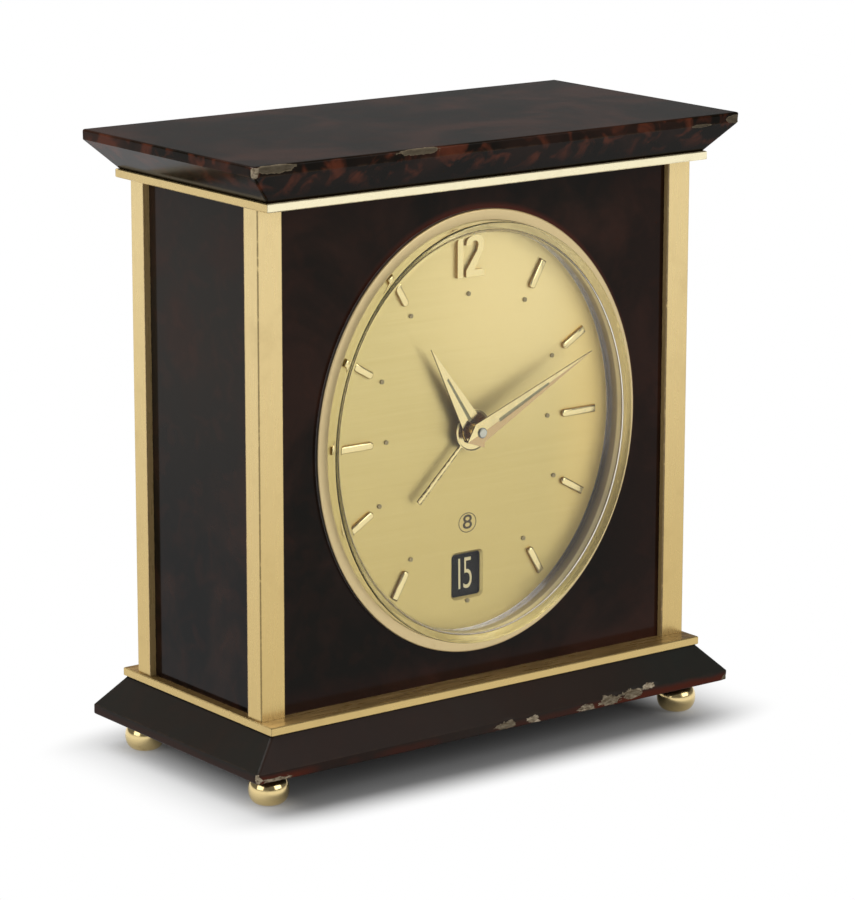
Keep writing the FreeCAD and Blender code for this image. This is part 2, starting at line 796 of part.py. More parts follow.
def make_bezel():
    """The gilt oval ring: a flange on the panel and a sleeve that holds crystal and dial."""
    flange = oval("bezel_flange", 0, Y_PANEL_FACE - mm.bezel_rise, mm.bezel_rise)
    front = Y_PANEL_FACE - mm.bezel_rise
    soft = rounded(
        "bezel_soft_flange",
        flange,
        min(mm.bezel_round, 0.9 * mm.bezel_rise),
        lambda edge: edge.BoundBox.YMax < front + 1e-3,
    )
    sleeve = oval(
        "bezel_sleeve", mm.bezel_overlap + mm.bezel_play, Y_PANEL_FACE, mm.dial_recess
    )
    whole = join("bezel_blank", soft, sleeve)
    hole = oval(
        "bezel_hole", mm.bezel_ring, Y_PANEL_FACE - mm.bezel_rise, mm.bezel_rise + mm.dial_recess
    )
    keep(cut("bezel", whole, hole), "bezel")


def make_crystal():
    """The clear box-shaped cover: a thick oval wall with a flat front and a soft edge."""
    inset = mm.bezel_ring + mm.crystal_play
    depth = mm.crystal_rise + mm.dial_recess
    outer = oval("crystal_outer", inset, Y_CRYSTAL_FACE, depth)
    soft = rounded(
        "crystal_soft",
        outer,
        min(mm.crystal_round, 0.9 * mm.crystal_front, 0.9 * mm.crystal_wall),
        lambda edge: edge.BoundBox.YMax < Y_CRYSTAL_FACE + 1e-3,
    )
    hollow = oval(
        "crystal_hollow",
        inset + mm.crystal_wall,
        Y_CRYSTAL_FACE + mm.crystal_front,
        depth - mm.crystal_front,
    )
    keep(cut("crystal", soft, hollow), "crystal")


def make_dial():
    """The champagne dial with the hole for the hands and the bevelled date window."""
    disc = oval("dial_disc", mm.bezel_overlap + 0.1, Y_DIAL_FACE, mm.dial_thickness)
    hole = rod("dial_hole", mm.dial_hole_radius, (0, Y_DIAL_FACE, Z_DIAL), mm.dial_thickness)
    opening = block(
        "date_window",
        (-mm.window_width / 2, Y_DIAL_FACE, Z_DIAL - mm.window_drop - mm.window_height / 2),
        (mm.window_width, mm.dial_thickness, mm.window_height),
    )
    soft = rounded(
        "date_window_soft",
        opening,
        mm.window_round,
        lambda edge: edge.BoundBox.YLength > 0.9 * mm.dial_thickness,
    )
    plate = cut("dial_plate", disc, hole, soft)

    def on_window(edge):
        box = edge.BoundBox
        low = Z_DIAL - mm.window_drop - mm.window_height / 2
        return box.YMax < Y_DIAL_FACE + 1e-6 and low - 0.1 < box.ZMin and box.ZMax < low + mm.window_height + 0.1

    keep(rounded("dial", plate, mm.window_bevel, on_window, kind="Chamfer"), "dial")


def marker_reach(angle):
    """How far the outer end of an hour marker lies from the middle, on an oval."""
    turn = math.radians(angle)
    return 1 / math.hypot(math.sin(turn) / mm.marker_reach_x, math.cos(turn) / mm.marker_reach_z)


def make_hour_batons():
    """Ten gilt bars at the hours, each with a round inner end and bevelled sides."""
    bevel = 0.3 * mm.marker_height
    half = mm.marker_width / 2
    batons = []
    for hour in (1, 2, 3, 4, 5, 7, 8, 9, 10, 11):
        angle = 30 * hour
        outer = marker_reach(angle)
        length = mm.marker_long if hour in (3, 9) else mm.marker_short
        inner = outer - length
        low = Vector(-half, 0, inner + half)
        edge = [
            Part.LineSegment(low, Vector(-half, 0, outer)),
            Part.LineSegment(Vector(-half, 0, outer), Vector(half, 0, outer)),
            Part.LineSegment(Vector(half, 0, outer), Vector(half, 0, inner + half)),
            Part.Arc(Vector(half, 0, inner + half), Vector(0, 0, inner), low),
        ]
        face = Part.Face(Part.Wire([line.toShape() for line in edge]))
        bar = face.extrude(Vector(0, -mm.marker_height, 0))
        top = [e for e in bar.Edges if e.BoundBox.YMax < -mm.marker_height + 1e-6]
        bar = bar.makeChamfer(bevel, top)
        bar.rotate(Vector(), Vector(0, 1, 0), angle)
        batons.append(bar)
    item = feature("hour_batons", Part.makeCompound(batons), 0, Y_DIAL_FACE, Z_DIAL)
    keep(item, "hour_batons")


def make_twelve():
    """The applied numeral 12 that takes the place of a bar at the top."""
    stroke = mm.numeral_stroke
    top = marker_reach(0)
    low = top - mm.numeral_height
    left = -mm.numeral_width / 2
    right = mm.numeral_width / 2
    rise = -mm.marker_height
    one = Part.makeBox(stroke, -rise, mm.numeral_height)
    one.translate(Vector(left, rise, low))
    outer = (right - left - stroke - 0.7) / 2
    middle_x = right - outer
    middle_z = top - outer
    ring = Part.makeCylinder(outer, -rise, Vector(middle_x, rise, middle_z), Vector(0, 1, 0))
    inner = Part.makeCylinder(outer - stroke, -rise, Vector(middle_x, rise, middle_z), Vector(0, 1, 0))
    below = Part.makeBox(2 * outer, -rise, outer)
    below.translate(Vector(middle_x - outer, rise, middle_z - outer))
    hook = ring.cut(inner).cut(below)
    foot = low + stroke
    slope = [
        (right - stroke, middle_z),
        (right, middle_z),
        (right - 0.15, middle_z - outer / 2),
        (middle_x - outer + 1.5 * stroke, foot),
        (middle_x - outer, foot),
        (right - stroke - 0.25, middle_z - outer / 2),
    ]
    base = [
        (middle_x - outer, low),
        (right, low),
        (right, foot),
        (middle_x - outer, foot),
    ]
    two = hook.fuse([prism(slope, rise, 0), prism(base, rise, 0)]).removeSplitter()
    item = feature("twelve_numeral", Part.makeCompound([one, two]), 0, Y_DIAL_FACE, Z_DIAL)
    keep(item, "twelve_numeral")


DOT_RADII = {
    12: 25.3, 1: 26.2, 2: 22.7, 3: 18.7, 4: 23.4, 5: 26.3,
    6: 32.7, 7: 26.3, 8: 23.4, 9: 18.7, 10: 22.7, 11: 26.2,
}


def make_luminous_dots():
    """A small raised dot of luminous paint inside each hour."""
    dots = []
    for hour, distance in DOT_RADII.items():
        x, z = clock_point(30 * hour, distance)
        dots.append(
            Part.makeCylinder(mm.dot_radius, mm.dot_height, Vector(x, 0, z), Vector(0, -1, 0))
        )
    item = feature("luminous_dots", Part.makeCompound(dots), 0, Y_DIAL_FACE, Z_DIAL)
    keep(item, "luminous_dots")


# ------------------------------------------------------------------------------ hands


def blade(length, width, tail, shoulder):
    """A faceted hand that points up: a kite with a ridge that peaks at its widest place."""
    thick, ridge = mm.hand_thickness, mm.hand_ridge
    rim = [(0, -tail), (-width / 2, -shoulder), (0, length), (width / 2, -shoulder)]
    back = [Vector(x, thick, z) for x, z in rim]
    front = [Vector(x, 0, z) for x, z in rim]
    peak = Vector(0, -ridge, -shoulder)
    faces = [Part.Face(Part.makePolygon(back + back[:1]))]
    for index in range(4):
        after = (index + 1) % 4
        wall = [back[index], back[after], front[after], front[index], back[index]]
        faces.append(Part.Face(Part.makePolygon(wall)))
        faces.append(Part.Face(Part.makePolygon([front[index], front[after], peak, front[index]])))
    return Part.makeSolid(Part.makeShell(faces))


def lume_strip(start, end, front):
    """The tapered strip of luminous paint in a hand, from a level in front to the hand's back."""
    near, far = mm.lume_width / 2, mm.lume_width / 3
    points = [(-near, start), (-far, end), (far, end), (near, start)]
    return prism(points, front, mm.hand_thickness)


def make_hand(which, bore, eye, y):
    """A lumed hand turned to the time shown. Its back is bored for its pipe, its front for the eye."""
    names = ("hand_length", "hand_width", "hand_tail", "hand_shoulder", "lume_start", "lume_end", "hand_angle")
    length, width, tail, shoulder, start, end, angle = (getattr(mm, f"{which}_{name}") for name in names)
    seat = shaft((0, 0), (bore, mm.hand_thickness))
    hole = shaft((0, -2 * mm.hand_ridge), (eye, mm.hand_thickness))
    slot = lume_strip(start, end, -2 * mm.hand_ridge)
    hand = blade(length, width, tail, shoulder).cut([seat, hole, slot]).removeSplitter()
    paint = lume_strip(start, end, -0.25 * mm.hand_ridge)
    for piece in (hand, paint):
        piece.rotate(Vector(), Vector(0, 1, 0), angle)
    keep(feature(f"{which}_hand", hand, 0, y, Z_DIAL), f"{which}_hand")
    keep(feature(f"{which}_hand_lume", paint, 0, y, Z_DIAL), f"{which}_hand_lume")


def make_alarm_hand():
    """The thin square-ended alarm pointer, a little wider at its end, on its flat round hub."""
    far, length = mm.alarm_hand_width / 2, mm.alarm_hand_length
    stick = prism([(-0.6 * far, 0), (-far, length), (far, length), (0.6 * far, 0)], 0, mm.hand_thickness)
    hub = shaft((0, 0), (mm.alarm_hub_radius, mm.hand_thickness))
    hand = hub.fuse(stick).cut(shaft((0, -1), (mm.alarm_pipe_radius, 1))).removeSplitter()
    hand.rotate(Vector(), Vector(0, 1, 0), mm.alarm_hand_angle)
    keep(feature("alarm_hand", hand, 0, Y_ALARM_HAND, Z_DIAL), "alarm_hand")


def make_hands():
    make_alarm_hand()
    make_hand("hour", mm.hour_pipe_radius, mm.cannon_radius + mm.shaft_play, Y_HOUR_HAND)
    make_hand("minute", mm.cannon_radius, mm.arbor_radius, Y_MINUTE_HAND)


# ------------------------------------------------------------------------------ motion work
# Levels between the calendar plate and the front plate, counted forward from the front plate.

MOTION_DISTANCE = spacing(CANNON_TEETH, MINUTE_WHEEL_TEETH, MOTION_MODULE)
DATE_DISTANCE = spacing(DATE_PINION_TEETH, DATE_DRIVER_TEETH, DATE_MODULE)
ALARM_DISTANCE = spacing(ALARM_WHEEL_TEETH, ALARM_PINION_TEETH, ALARM_MODULE)
MINUTE_WHEEL_AT = clock_point(MINUTE_WHEEL_ANGLE, MOTION_DISTANCE)
DATE_DRIVER_AT = clock_point(DATE_DRIVER_ANGLE, DATE_DISTANCE)
ALARM_SETTING_AT = clock_point(ALARM_SETTING_ANGLE, ALARM_DISTANCE)

Y_CANNON_TEETH = (Y_FRONT_PLATE - 1.7, Y_FRONT_PLATE - 0.5)
Y_MINUTE_WHEEL = (Y_FRONT_PLATE - 1.4, Y_FRONT_PLATE - 0.8)
Y_DATE_WHEELS = (Y_FRONT_PLATE - 2.4, Y_FRONT_PLATE - 1.8)
Y_MINUTE_PINION = (Y_FRONT_PLATE - 3.15, Y_FRONT_PLATE - 2.2)
Y_HOUR_WHEEL = (Y_FRONT_PLATE - 3.0, Y_FRONT_PLATE - 2.4)
Y_ALARM_WHEEL = (Y_FRONT_PLATE - 3.9, Y_FRONT_PLATE - 3.3)
STUD_RADIUS = 0.5


def make_motion_work():
    """The gears behind the dial that turn the hour hand, the date driver and the alarm hand."""
    play = mm.shaft_play
    pinion = toothed(CANNON_TEETH, MOTION_MODULE, 0, *Y_CANNON_TEETH, form=PINION_FORM)
    pipe = shaft((0, Y_MINUTE_HAND), (mm.cannon_radius, Y_CANNON_TEETH[0] + 0.1))
    cannon = pinion.fuse(pipe).cut(shaft((0, -30), (mm.arbor_radius, 0)))
    movement_piece("cannon_pinion", cannon)

    phase = mesh_phase(CANNON_TEETH, MINUTE_WHEEL_TEETH, MINUTE_WHEEL_ANGLE)
    wheel = toothed(MINUTE_WHEEL_TEETH, MOTION_MODULE, phase, *Y_MINUTE_WHEEL)
    leaves = toothed(MINUTE_PINION_TEETH, MOTION_MODULE, 0, *Y_MINUTE_PINION, form=PINION_FORM)
    hub = shaft((0, Y_MINUTE_PINION[1] - 0.1), (0.85, Y_MINUTE_WHEEL[0] + 0.1))
    stud_hole = shaft((0, -30), (STUD_RADIUS + play, 0))
    movement_piece("minute_wheel", wheel.fuse([leaves, hub]).cut(stud_hole), MINUTE_WHEEL_AT)

    back = MINUTE_WHEEL_ANGLE + 180
    phase = mesh_phase(MINUTE_PINION_TEETH, HOUR_WHEEL_TEETH, back)
    wheel = toothed(HOUR_WHEEL_TEETH, MOTION_MODULE, phase, *Y_HOUR_WHEEL)
    driver = toothed(DATE_PINION_TEETH, DATE_MODULE, 0, *Y_DATE_WHEELS)
    pipe = shaft((0, Y_HOUR_HAND), (mm.hour_pipe_radius, Y_HOUR_WHEEL[0] + 0.1))
    bore = shaft((0, -30), (mm.cannon_radius + play, 0))
    movement_piece("hour_wheel", wheel.fuse([driver, pipe]).cut(bore))

    phase = mesh_phase(DATE_PINION_TEETH, DATE_DRIVER_TEETH, DATE_DRIVER_ANGLE)
    wheel = toothed(DATE_DRIVER_TEETH, DATE_MODULE, phase, *Y_DATE_WHEELS)
    finger_y = (Y_DATE_FACE + 0.05, Y_DATE_FACE + mm.date_disc_thickness - 0.05)
    reach = mm.date_disc_bore + 0.6 - DATE_DISTANCE
    hub = shaft((0, finger_y[0]), (1.1, Y_DATE_WHEELS[0] + 0.1))
    finger = prism([(-0.5, 0), (-0.3, reach), (0.3, reach), (0.5, 0)], *finger_y)
    finger.rotate(Vector(), Vector(0, 1, 0), DATE_DRIVER_ANGLE + 120)
    movement_piece("date_driver", wheel.fuse([hub, finger]).cut(stud_hole), DATE_DRIVER_AT)

    wheel = toothed(ALARM_WHEEL_TEETH, ALARM_MODULE, 0, *Y_ALARM_WHEEL)
    pipe = shaft((0, Y_ALARM_HAND - 0.1), (mm.alarm_pipe_radius, Y_ALARM_WHEEL[0] + 0.1))
    bore = shaft((0, -30), (mm.hour_pipe_radius + play, 0))
    movement_piece("alarm_wheel", wheel.fuse(pipe).cut(bore))

    phase = mesh_phase(ALARM_WHEEL_TEETH, ALARM_PINION_TEETH, ALARM_SETTING_ANGLE)
    start = Y_ALARM_WHEEL[0] - 0.1
    pinion = toothed(ALARM_PINION_TEETH, ALARM_MODULE, phase, start, start + 0.9, form=PINION_FORM)
    stem = shaft((0, start), (mm.arbor_radius - 0.1, Y_KNOBS + 0.6 * mm.knob_length))
    movement_piece("alarm_setting_arbor", stem.fuse(pinion), ALARM_SETTING_AT)


def make_centre_arbor():
    """The long arbor from the pin in front of the minute hand to the setting knob."""
    end = Y_KNOBS + 0.6 * mm.knob_length
    arbor = shaft((0, Y_PIN), (mm.arbor_radius - 0.2, Y_PIN + 0.2), (mm.arbor_radius, end))
    movement_piece("centre_arbor", arbor)


# ------------------------------------------------------------------------------ calendar


def calendar_screws():
    """Where the calendar plate is screwed to the back of the front panel."""
    x = mm.bezel_width / 2 - mm.bezel_overlap + 0.55 * mm.calendar_plate_margin
    z = mm.bezel_height / 2 - mm.bezel_overlap + 0.55 * mm.calendar_plate_margin
    return [(0, z), (x, 0), (0, -z), (-x, 0)]


def make_date_disc():
    """The black date ring, toothed inside, one tooth for each day."""
    root = mm.date_disc_bore + mm.date_tooth_depth
    points = []
    for tooth in range(DATE_TEETH):
        middle = tooth * 360 / DATE_TEETH
        points.append(clock_point(middle, mm.date_disc_bore))
        points.append(clock_point(middle + 180 / DATE_TEETH, root))
    y = Y_DATE_FACE
    ring = shaft((0, y), (mm.date_disc_radius, y + mm.date_disc_thickness))
    movement_piece("date_disc", ring.cut(prism(points, y - 1, y + 2)))


def make_calendar_plate():
    """The plate behind the dial: it clamps the dial, carries the date ring and the movement."""
    inset = mm.bezel_overlap - mm.calendar_plate_margin
    slab = oval("calendar_slab", inset, Y_PANEL_BACK, Y_CALENDAR_BACK - Y_PANEL_BACK)
    recess = rod(
        "date_disc_recess", mm.date_disc_radius + 0.3, (0, Y_PANEL_BACK, Z_DIAL),
        Y_CALENDAR - Y_PANEL_BACK,
    )
    opening = rod(
        "calendar_opening", mm.date_disc_bore + mm.date_tooth_depth + 0.3,
        (0, Y_PANEL_BACK, Z_DIAL), Y_CALENDAR_BACK - Y_PANEL_BACK,
    )
    holes = [
        rod(f"calendar_hole_{n}", mm.screw_radius, (x, Y_PANEL_BACK, Z_DIAL + z), 3)
        for n, (x, z) in enumerate(calendar_screws())
    ]
    keep(cut("calendar_plate", slab, recess, opening, *holes), "calendar_plate")


# ------------------------------------------------------------------------------ movement

PILLAR_ANGLES = (60, 180, 300)
TIME_BARREL_AT = (-mm.barrel_x, -mm.barrel_drop)
ALARM_BARREL_AT = (mm.barrel_x, -mm.barrel_drop)
CENTRE_DISTANCE = spacing(CENTRE_TEETH, THIRD_PINION_TEETH, CENTRE_MODULE)
THIRD_AT = clock_point(THIRD_ANGLE, CENTRE_DISTANCE)
FOURTH_AT = clock_point(
    FOURTH_ANGLE, spacing(THIRD_TEETH, FOURTH_PINION_TEETH, THIRD_MODULE), THIRD_AT
)
ESCAPE_AT = clock_point(
    ESCAPE_ANGLE, spacing(FOURTH_TEETH, ESCAPE_PINION_TEETH, FOURTH_MODULE), FOURTH_AT
)
FORK_AT = clock_point(FORK_ANGLE, FORK_DISTANCE, ESCAPE_AT)
BALANCE_AT = clock_point(BALANCE_ANGLE, BALANCE_DISTANCE, FORK_AT)
STRIKE_AT = clock_point(
    STRIKE_ANGLE,
    spacing(ALARM_BARREL_TEETH, STRIKE_PINION_TEETH, ALARM_BARREL_MODULE),
    ALARM_BARREL_AT,
)
HAMMER_AT = clock_point(HAMMER_ANGLE, HAMMER_DISTANCE, STRIKE_AT)
CORRECTOR_AT = clock_point(285, mm.date_disc_bore + mm.date_tooth_depth / 2)
STOP_AT = (3.0, 24.5)
REGULATOR_REACH = 8.0
REGULATOR_SLOT = (-26, -13, 0, 13, 26)


def intermediate_place():
    """Where the intermediate wheel meshes with both the barrel and the centre pinion."""
    to_barrel = math.hypot(*TIME_BARREL_AT)
    direction = math.degrees(math.atan2(*TIME_BARREL_AT))
    near = spacing(INTERMEDIATE_TEETH, CENTRE_PINION_TEETH, INTERMEDIATE_MODULE)
    far = spacing(TIME_BARREL_TEETH, INTERMEDIATE_PINION_TEETH, BARREL_MODULE)
    cosine = (near**2 + to_barrel**2 - far**2) / (2 * near * to_barrel)
    return clock_point(direction + math.degrees(math.acos(cosine)), near)


INTERMEDIATE_AT = intermediate_place()


def direction_to(start, end):
    """The clock angle from one axis to another."""
    return math.degrees(math.atan2(end[0] - start[0], end[1] - start[1]))


def drilled_plate(start, thickness, holes):
    """A round movement plate with holes given as (x, z, radius)."""
    plate = shaft((0, start), (mm.movement_radius, start + thickness))
    tools = [
        Part.makeCylinder(radius, thickness + 2, Vector(x, start - 1, z), Vector(0, 1, 0))
        for x, z, radius in holes
    ]
    return plate.cut(tools)


def make_plates():
    """The two movement plates. The front one stands on three riveted feet."""
    pivot = mm.pivot_radius + mm.pivot_play
    pivots = [THIRD_AT, FOURTH_AT, ESCAPE_AT, FORK_AT, BALANCE_AT, INTERMEDIATE_AT, STRIKE_AT]
    pivots.append(HAMMER_AT)
    shared = [(x, z, pivot) for x, z in pivots]
    shared.append((0, 0, mm.arbor_radius + mm.shaft_play))
    shared.append((*ALARM_SETTING_AT, mm.arbor_radius - 0.1 + mm.shaft_play))
    shared += [(x, z, mm.barrel_arbor_radius + mm.shaft_play) for x, z in (TIME_BARREL_AT, ALARM_BARREL_AT)]
    shared.append((*CORRECTOR_AT, 0.8 + mm.shaft_play))
    front = drilled_plate(Y_FRONT_PLATE, mm.movement_plate, shared)
    feet = []
    for angle in PILLAR_ANGLES:
        x, z = clock_point(angle, mm.pillar_circle)
        foot = shaft((0, Y_CALENDAR_BACK), (mm.pillar_radius, Y_FRONT_PLATE))
        foot.translate(Vector(x, 0, z))
        feet.append(foot)
    studs = []
    for (x, z), start in ((MINUTE_WHEEL_AT, Y_MINUTE_PINION[0]), (DATE_DRIVER_AT, Y_DATE_FACE + 0.1)):
        stud = shaft((0, start), (STUD_RADIUS, Y_FRONT_PLATE))
        stud.translate(Vector(x, 0, z))
        studs.append(stud)
    movement_piece("front_plate", front.fuse(feet + studs).removeSplitter())

    rear = shared + [
        (*clock_point(angle, mm.pillar_circle), mm.screw_radius) for angle in PILLAR_ANGLES
    ]
    rear.append((*STOP_AT, 1.0 + mm.shaft_play))
    movement_piece("rear_plate", drilled_plate(Y_REAR_PLATE, mm.movement_plate, rear))


def make_pillars():
    """Three pillars that space the plates, tapped for the rear plate's screws."""
    pillars = []
    tapped = mm.screw_length - mm.movement_plate
    for angle in PILLAR_ANGLES:
        x, z = clock_point(angle, mm.pillar_circle)
        pillar = shaft((0, Y_TRAIN), (mm.pillar_radius, Y_REAR_PLATE))
        pillar = pillar.cut(shaft((0, Y_REAR_PLATE - tapped), (mm.screw_radius, Y_REAR_PLATE)))
        pillar.translate(Vector(x, 0, z))
        pillars.append(pillar)
    movement_piece("plate_pillars", Part.makeCompound(pillars))


def cover_screws():
    """Where the back cover is screwed to the rear panel."""
    return [clock_point(angle, mm.cover_screw_circle) for angle in (45, 135, 225, 315)]


def make_screws():
    """Eleven equal screws, all driven from behind."""
    places = [(x, z, Y_CALENDAR_BACK) for x, z in calendar_screws()]
    places += [(*clock_point(angle, mm.pillar_circle), Y_MOVEMENT_BACK) for angle in PILLAR_ANGLES]
    places += [(x, z, Y_COVER_BACK) for x, z in cover_screws()]
    screws = []
    for x, z, y in places:
        screw = shaft(
            (0, -mm.screw_length), (mm.screw_radius, 0), (mm.screw_head_radius, mm.screw_head_height)
        )
        screw.translate(Vector(x, y, z))
        screws.append(screw)
    movement_piece("screws", Part.makeCompound(screws))


Y_GREAT_WHEEL = (Y_REAR_PLATE - 4.8, Y_REAR_PLATE - 3.8)
Y_INTERMEDIATE = (Y_REAR_PLATE - 2.7, Y_REAR_PLATE - 2.1)
Y_CENTRE_WHEEL = (Y_TRAIN + 1.0, Y_TRAIN + 1.6)
Y_THIRD_WHEEL = (Y_TRAIN + 3.8, Y_TRAIN + 4.3)
Y_FOURTH_WHEEL = (Y_TRAIN + 7.0, Y_TRAIN + 7.4)
Y_ESCAPE_WHEEL = (Y_TRAIN + 9.9, Y_TRAIN + 10.3)
Y_BALANCE = (Y_TRAIN + 12.4, Y_TRAIN + 13.4)
Y_HAIRSPRING = (Y_TRAIN + 14.9, Y_TRAIN + 15.4)


def wheel_and_pinion(teeth, module, phase, wheel_y, leaves, leaf_module, leaf_phase, pinion_y):
    """A train wheel with arms and its pinion, on an arbor that pivots in both plates."""
    disc = toothed(teeth, module, phase, *wheel_y)
    rim = teeth * module / 2 - 2.2 * module
    disc = disc.cut(windows(0.38 * rim, rim, 4, 0.9, wheel_y[0] - 1, wheel_y[1] + 1))
    pinion = toothed(leaves, leaf_module, leaf_phase, *pinion_y, form=PINION_FORM)
    pivot = mm.pivot_radius
    thin = leaves * leaf_module / 2 - leaf_module * PINION_FORM.fall
    radius = min(mm.small_arbor_radius, thin + 0.02)
    arbor = shaft(
        (0, Y_TRAIN - mm.movement_plate + 0.1),
        (pivot, Y_TRAIN + 0.1),
        (radius, Y_REAR_PLATE - 0.1),
        (pivot, Y_MOVEMENT_BACK - 0.1),
    )
    return disc.fuse([pinion, arbor])


def make_barrel(label, place_at, radius, teeth, module, phase):
    """A spring barrel: a closed drum with the great wheel on its rear rim."""
    drum = shaft((0, Y_GREAT_WHEEL[0] - mm.barrel_length), (radius, Y_GREAT_WHEEL[0] + 0.1))
    wheel = toothed(teeth, module, phase, *Y_GREAT_WHEEL)
    bore = shaft((0, -30), (mm.barrel_arbor_radius + mm.shaft_play, 30))
    movement_piece(label, drum.fuse(wheel).cut(bore), place_at)


def make_winding_arbor(label, place_at):
    """The arbor inside a barrel, with its ratchet wheel behind the rear plate."""
    start = Y_TRAIN - mm.movement_plate + 0.1
    end = Y_KNOBS + 2.4
    arbor = shaft((0, start), (mm.barrel_arbor_radius, end))
    ratchet_y = (Y_MOVEMENT_BACK + 0.3, Y_MOVEMENT_BACK + 1.1)
    points = []
    for tooth in range(18):
        points.append(clock_point(tooth * 20, 5.0))
        points.append(clock_point(tooth * 20 + 3, 4.2))
    movement_piece(label, arbor.fuse(prism(points, *ratchet_y)), place_at)


def make_going_train():
    """Barrel, intermediate, centre, third, fourth and escape wheels, each in mesh with the next."""
    make_barrel(
        "time_barrel", TIME_BARREL_AT, mm.time_barrel_radius, TIME_BARREL_TEETH, BARREL_MODULE, 0
    )
    leaf_phase = mesh_phase(
        TIME_BARREL_TEETH, INTERMEDIATE_PINION_TEETH, direction_to(TIME_BARREL_AT, INTERMEDIATE_AT)
    )
    intermediate = wheel_and_pinion(
        INTERMEDIATE_TEETH, INTERMEDIATE_MODULE, 0, Y_INTERMEDIATE,
        INTERMEDIATE_PINION_TEETH, BARREL_MODULE, leaf_phase,
        (Y_GREAT_WHEEL[0] - 0.2, Y_GREAT_WHEEL[1] + 0.2),
    )
    movement_piece("intermediate_wheel", intermediate, INTERMEDIATE_AT)

    leaf_phase = mesh_phase(
        INTERMEDIATE_TEETH, CENTRE_PINION_TEETH, direction_to(INTERMEDIATE_AT, (0, 0))
    )
    disc = toothed(CENTRE_TEETH, CENTRE_MODULE, 0, *Y_CENTRE_WHEEL)
    rim = CENTRE_TEETH * CENTRE_MODULE / 2 - 2.2 * CENTRE_MODULE
    disc = disc.cut(windows(0.42 * rim, rim, 4, 1.1, Y_CENTRE_WHEEL[0] - 1, Y_CENTRE_WHEEL[1] + 1))
    pinion = toothed(
        CENTRE_PINION_TEETH, INTERMEDIATE_MODULE, leaf_phase,
        Y_INTERMEDIATE[0] - 0.3, Y_INTERMEDIATE[1] + 0.3, form=PINION_FORM,
    )
    pipe = shaft((0, Y_TRAIN + 0.2), (mm.arbor_radius + 0.42, Y_REAR_PLATE - 0.2))
    bore = shaft((0, -30), (mm.arbor_radius + mm.shaft_play, 30))
    movement_piece("centre_wheel", disc.fuse([pinion, pipe]).cut(bore))

    leaf_phase = mesh_phase(CENTRE_TEETH, THIRD_PINION_TEETH, THIRD_ANGLE)
    third = wheel_and_pinion(
        THIRD_TEETH, THIRD_MODULE, 0, Y_THIRD_WHEEL,
        THIRD_PINION_TEETH, CENTRE_MODULE, leaf_phase,
        (Y_CENTRE_WHEEL[0] - 0.3, Y_CENTRE_WHEEL[1] + 0.3),
    )
    movement_piece("third_wheel", third, THIRD_AT)

    leaf_phase = mesh_phase(THIRD_TEETH, FOURTH_PINION_TEETH, FOURTH_ANGLE)
    fourth = wheel_and_pinion(
        FOURTH_TEETH, FOURTH_MODULE, 0, Y_FOURTH_WHEEL,
        FOURTH_PINION_TEETH, THIRD_MODULE, leaf_phase,
        (Y_THIRD_WHEEL[0] - 0.3, Y_THIRD_WHEEL[1] + 0.3),
    )
    movement_piece("fourth_wheel", fourth, FOURTH_AT)


ESCAPE_RADIUS = 3.6


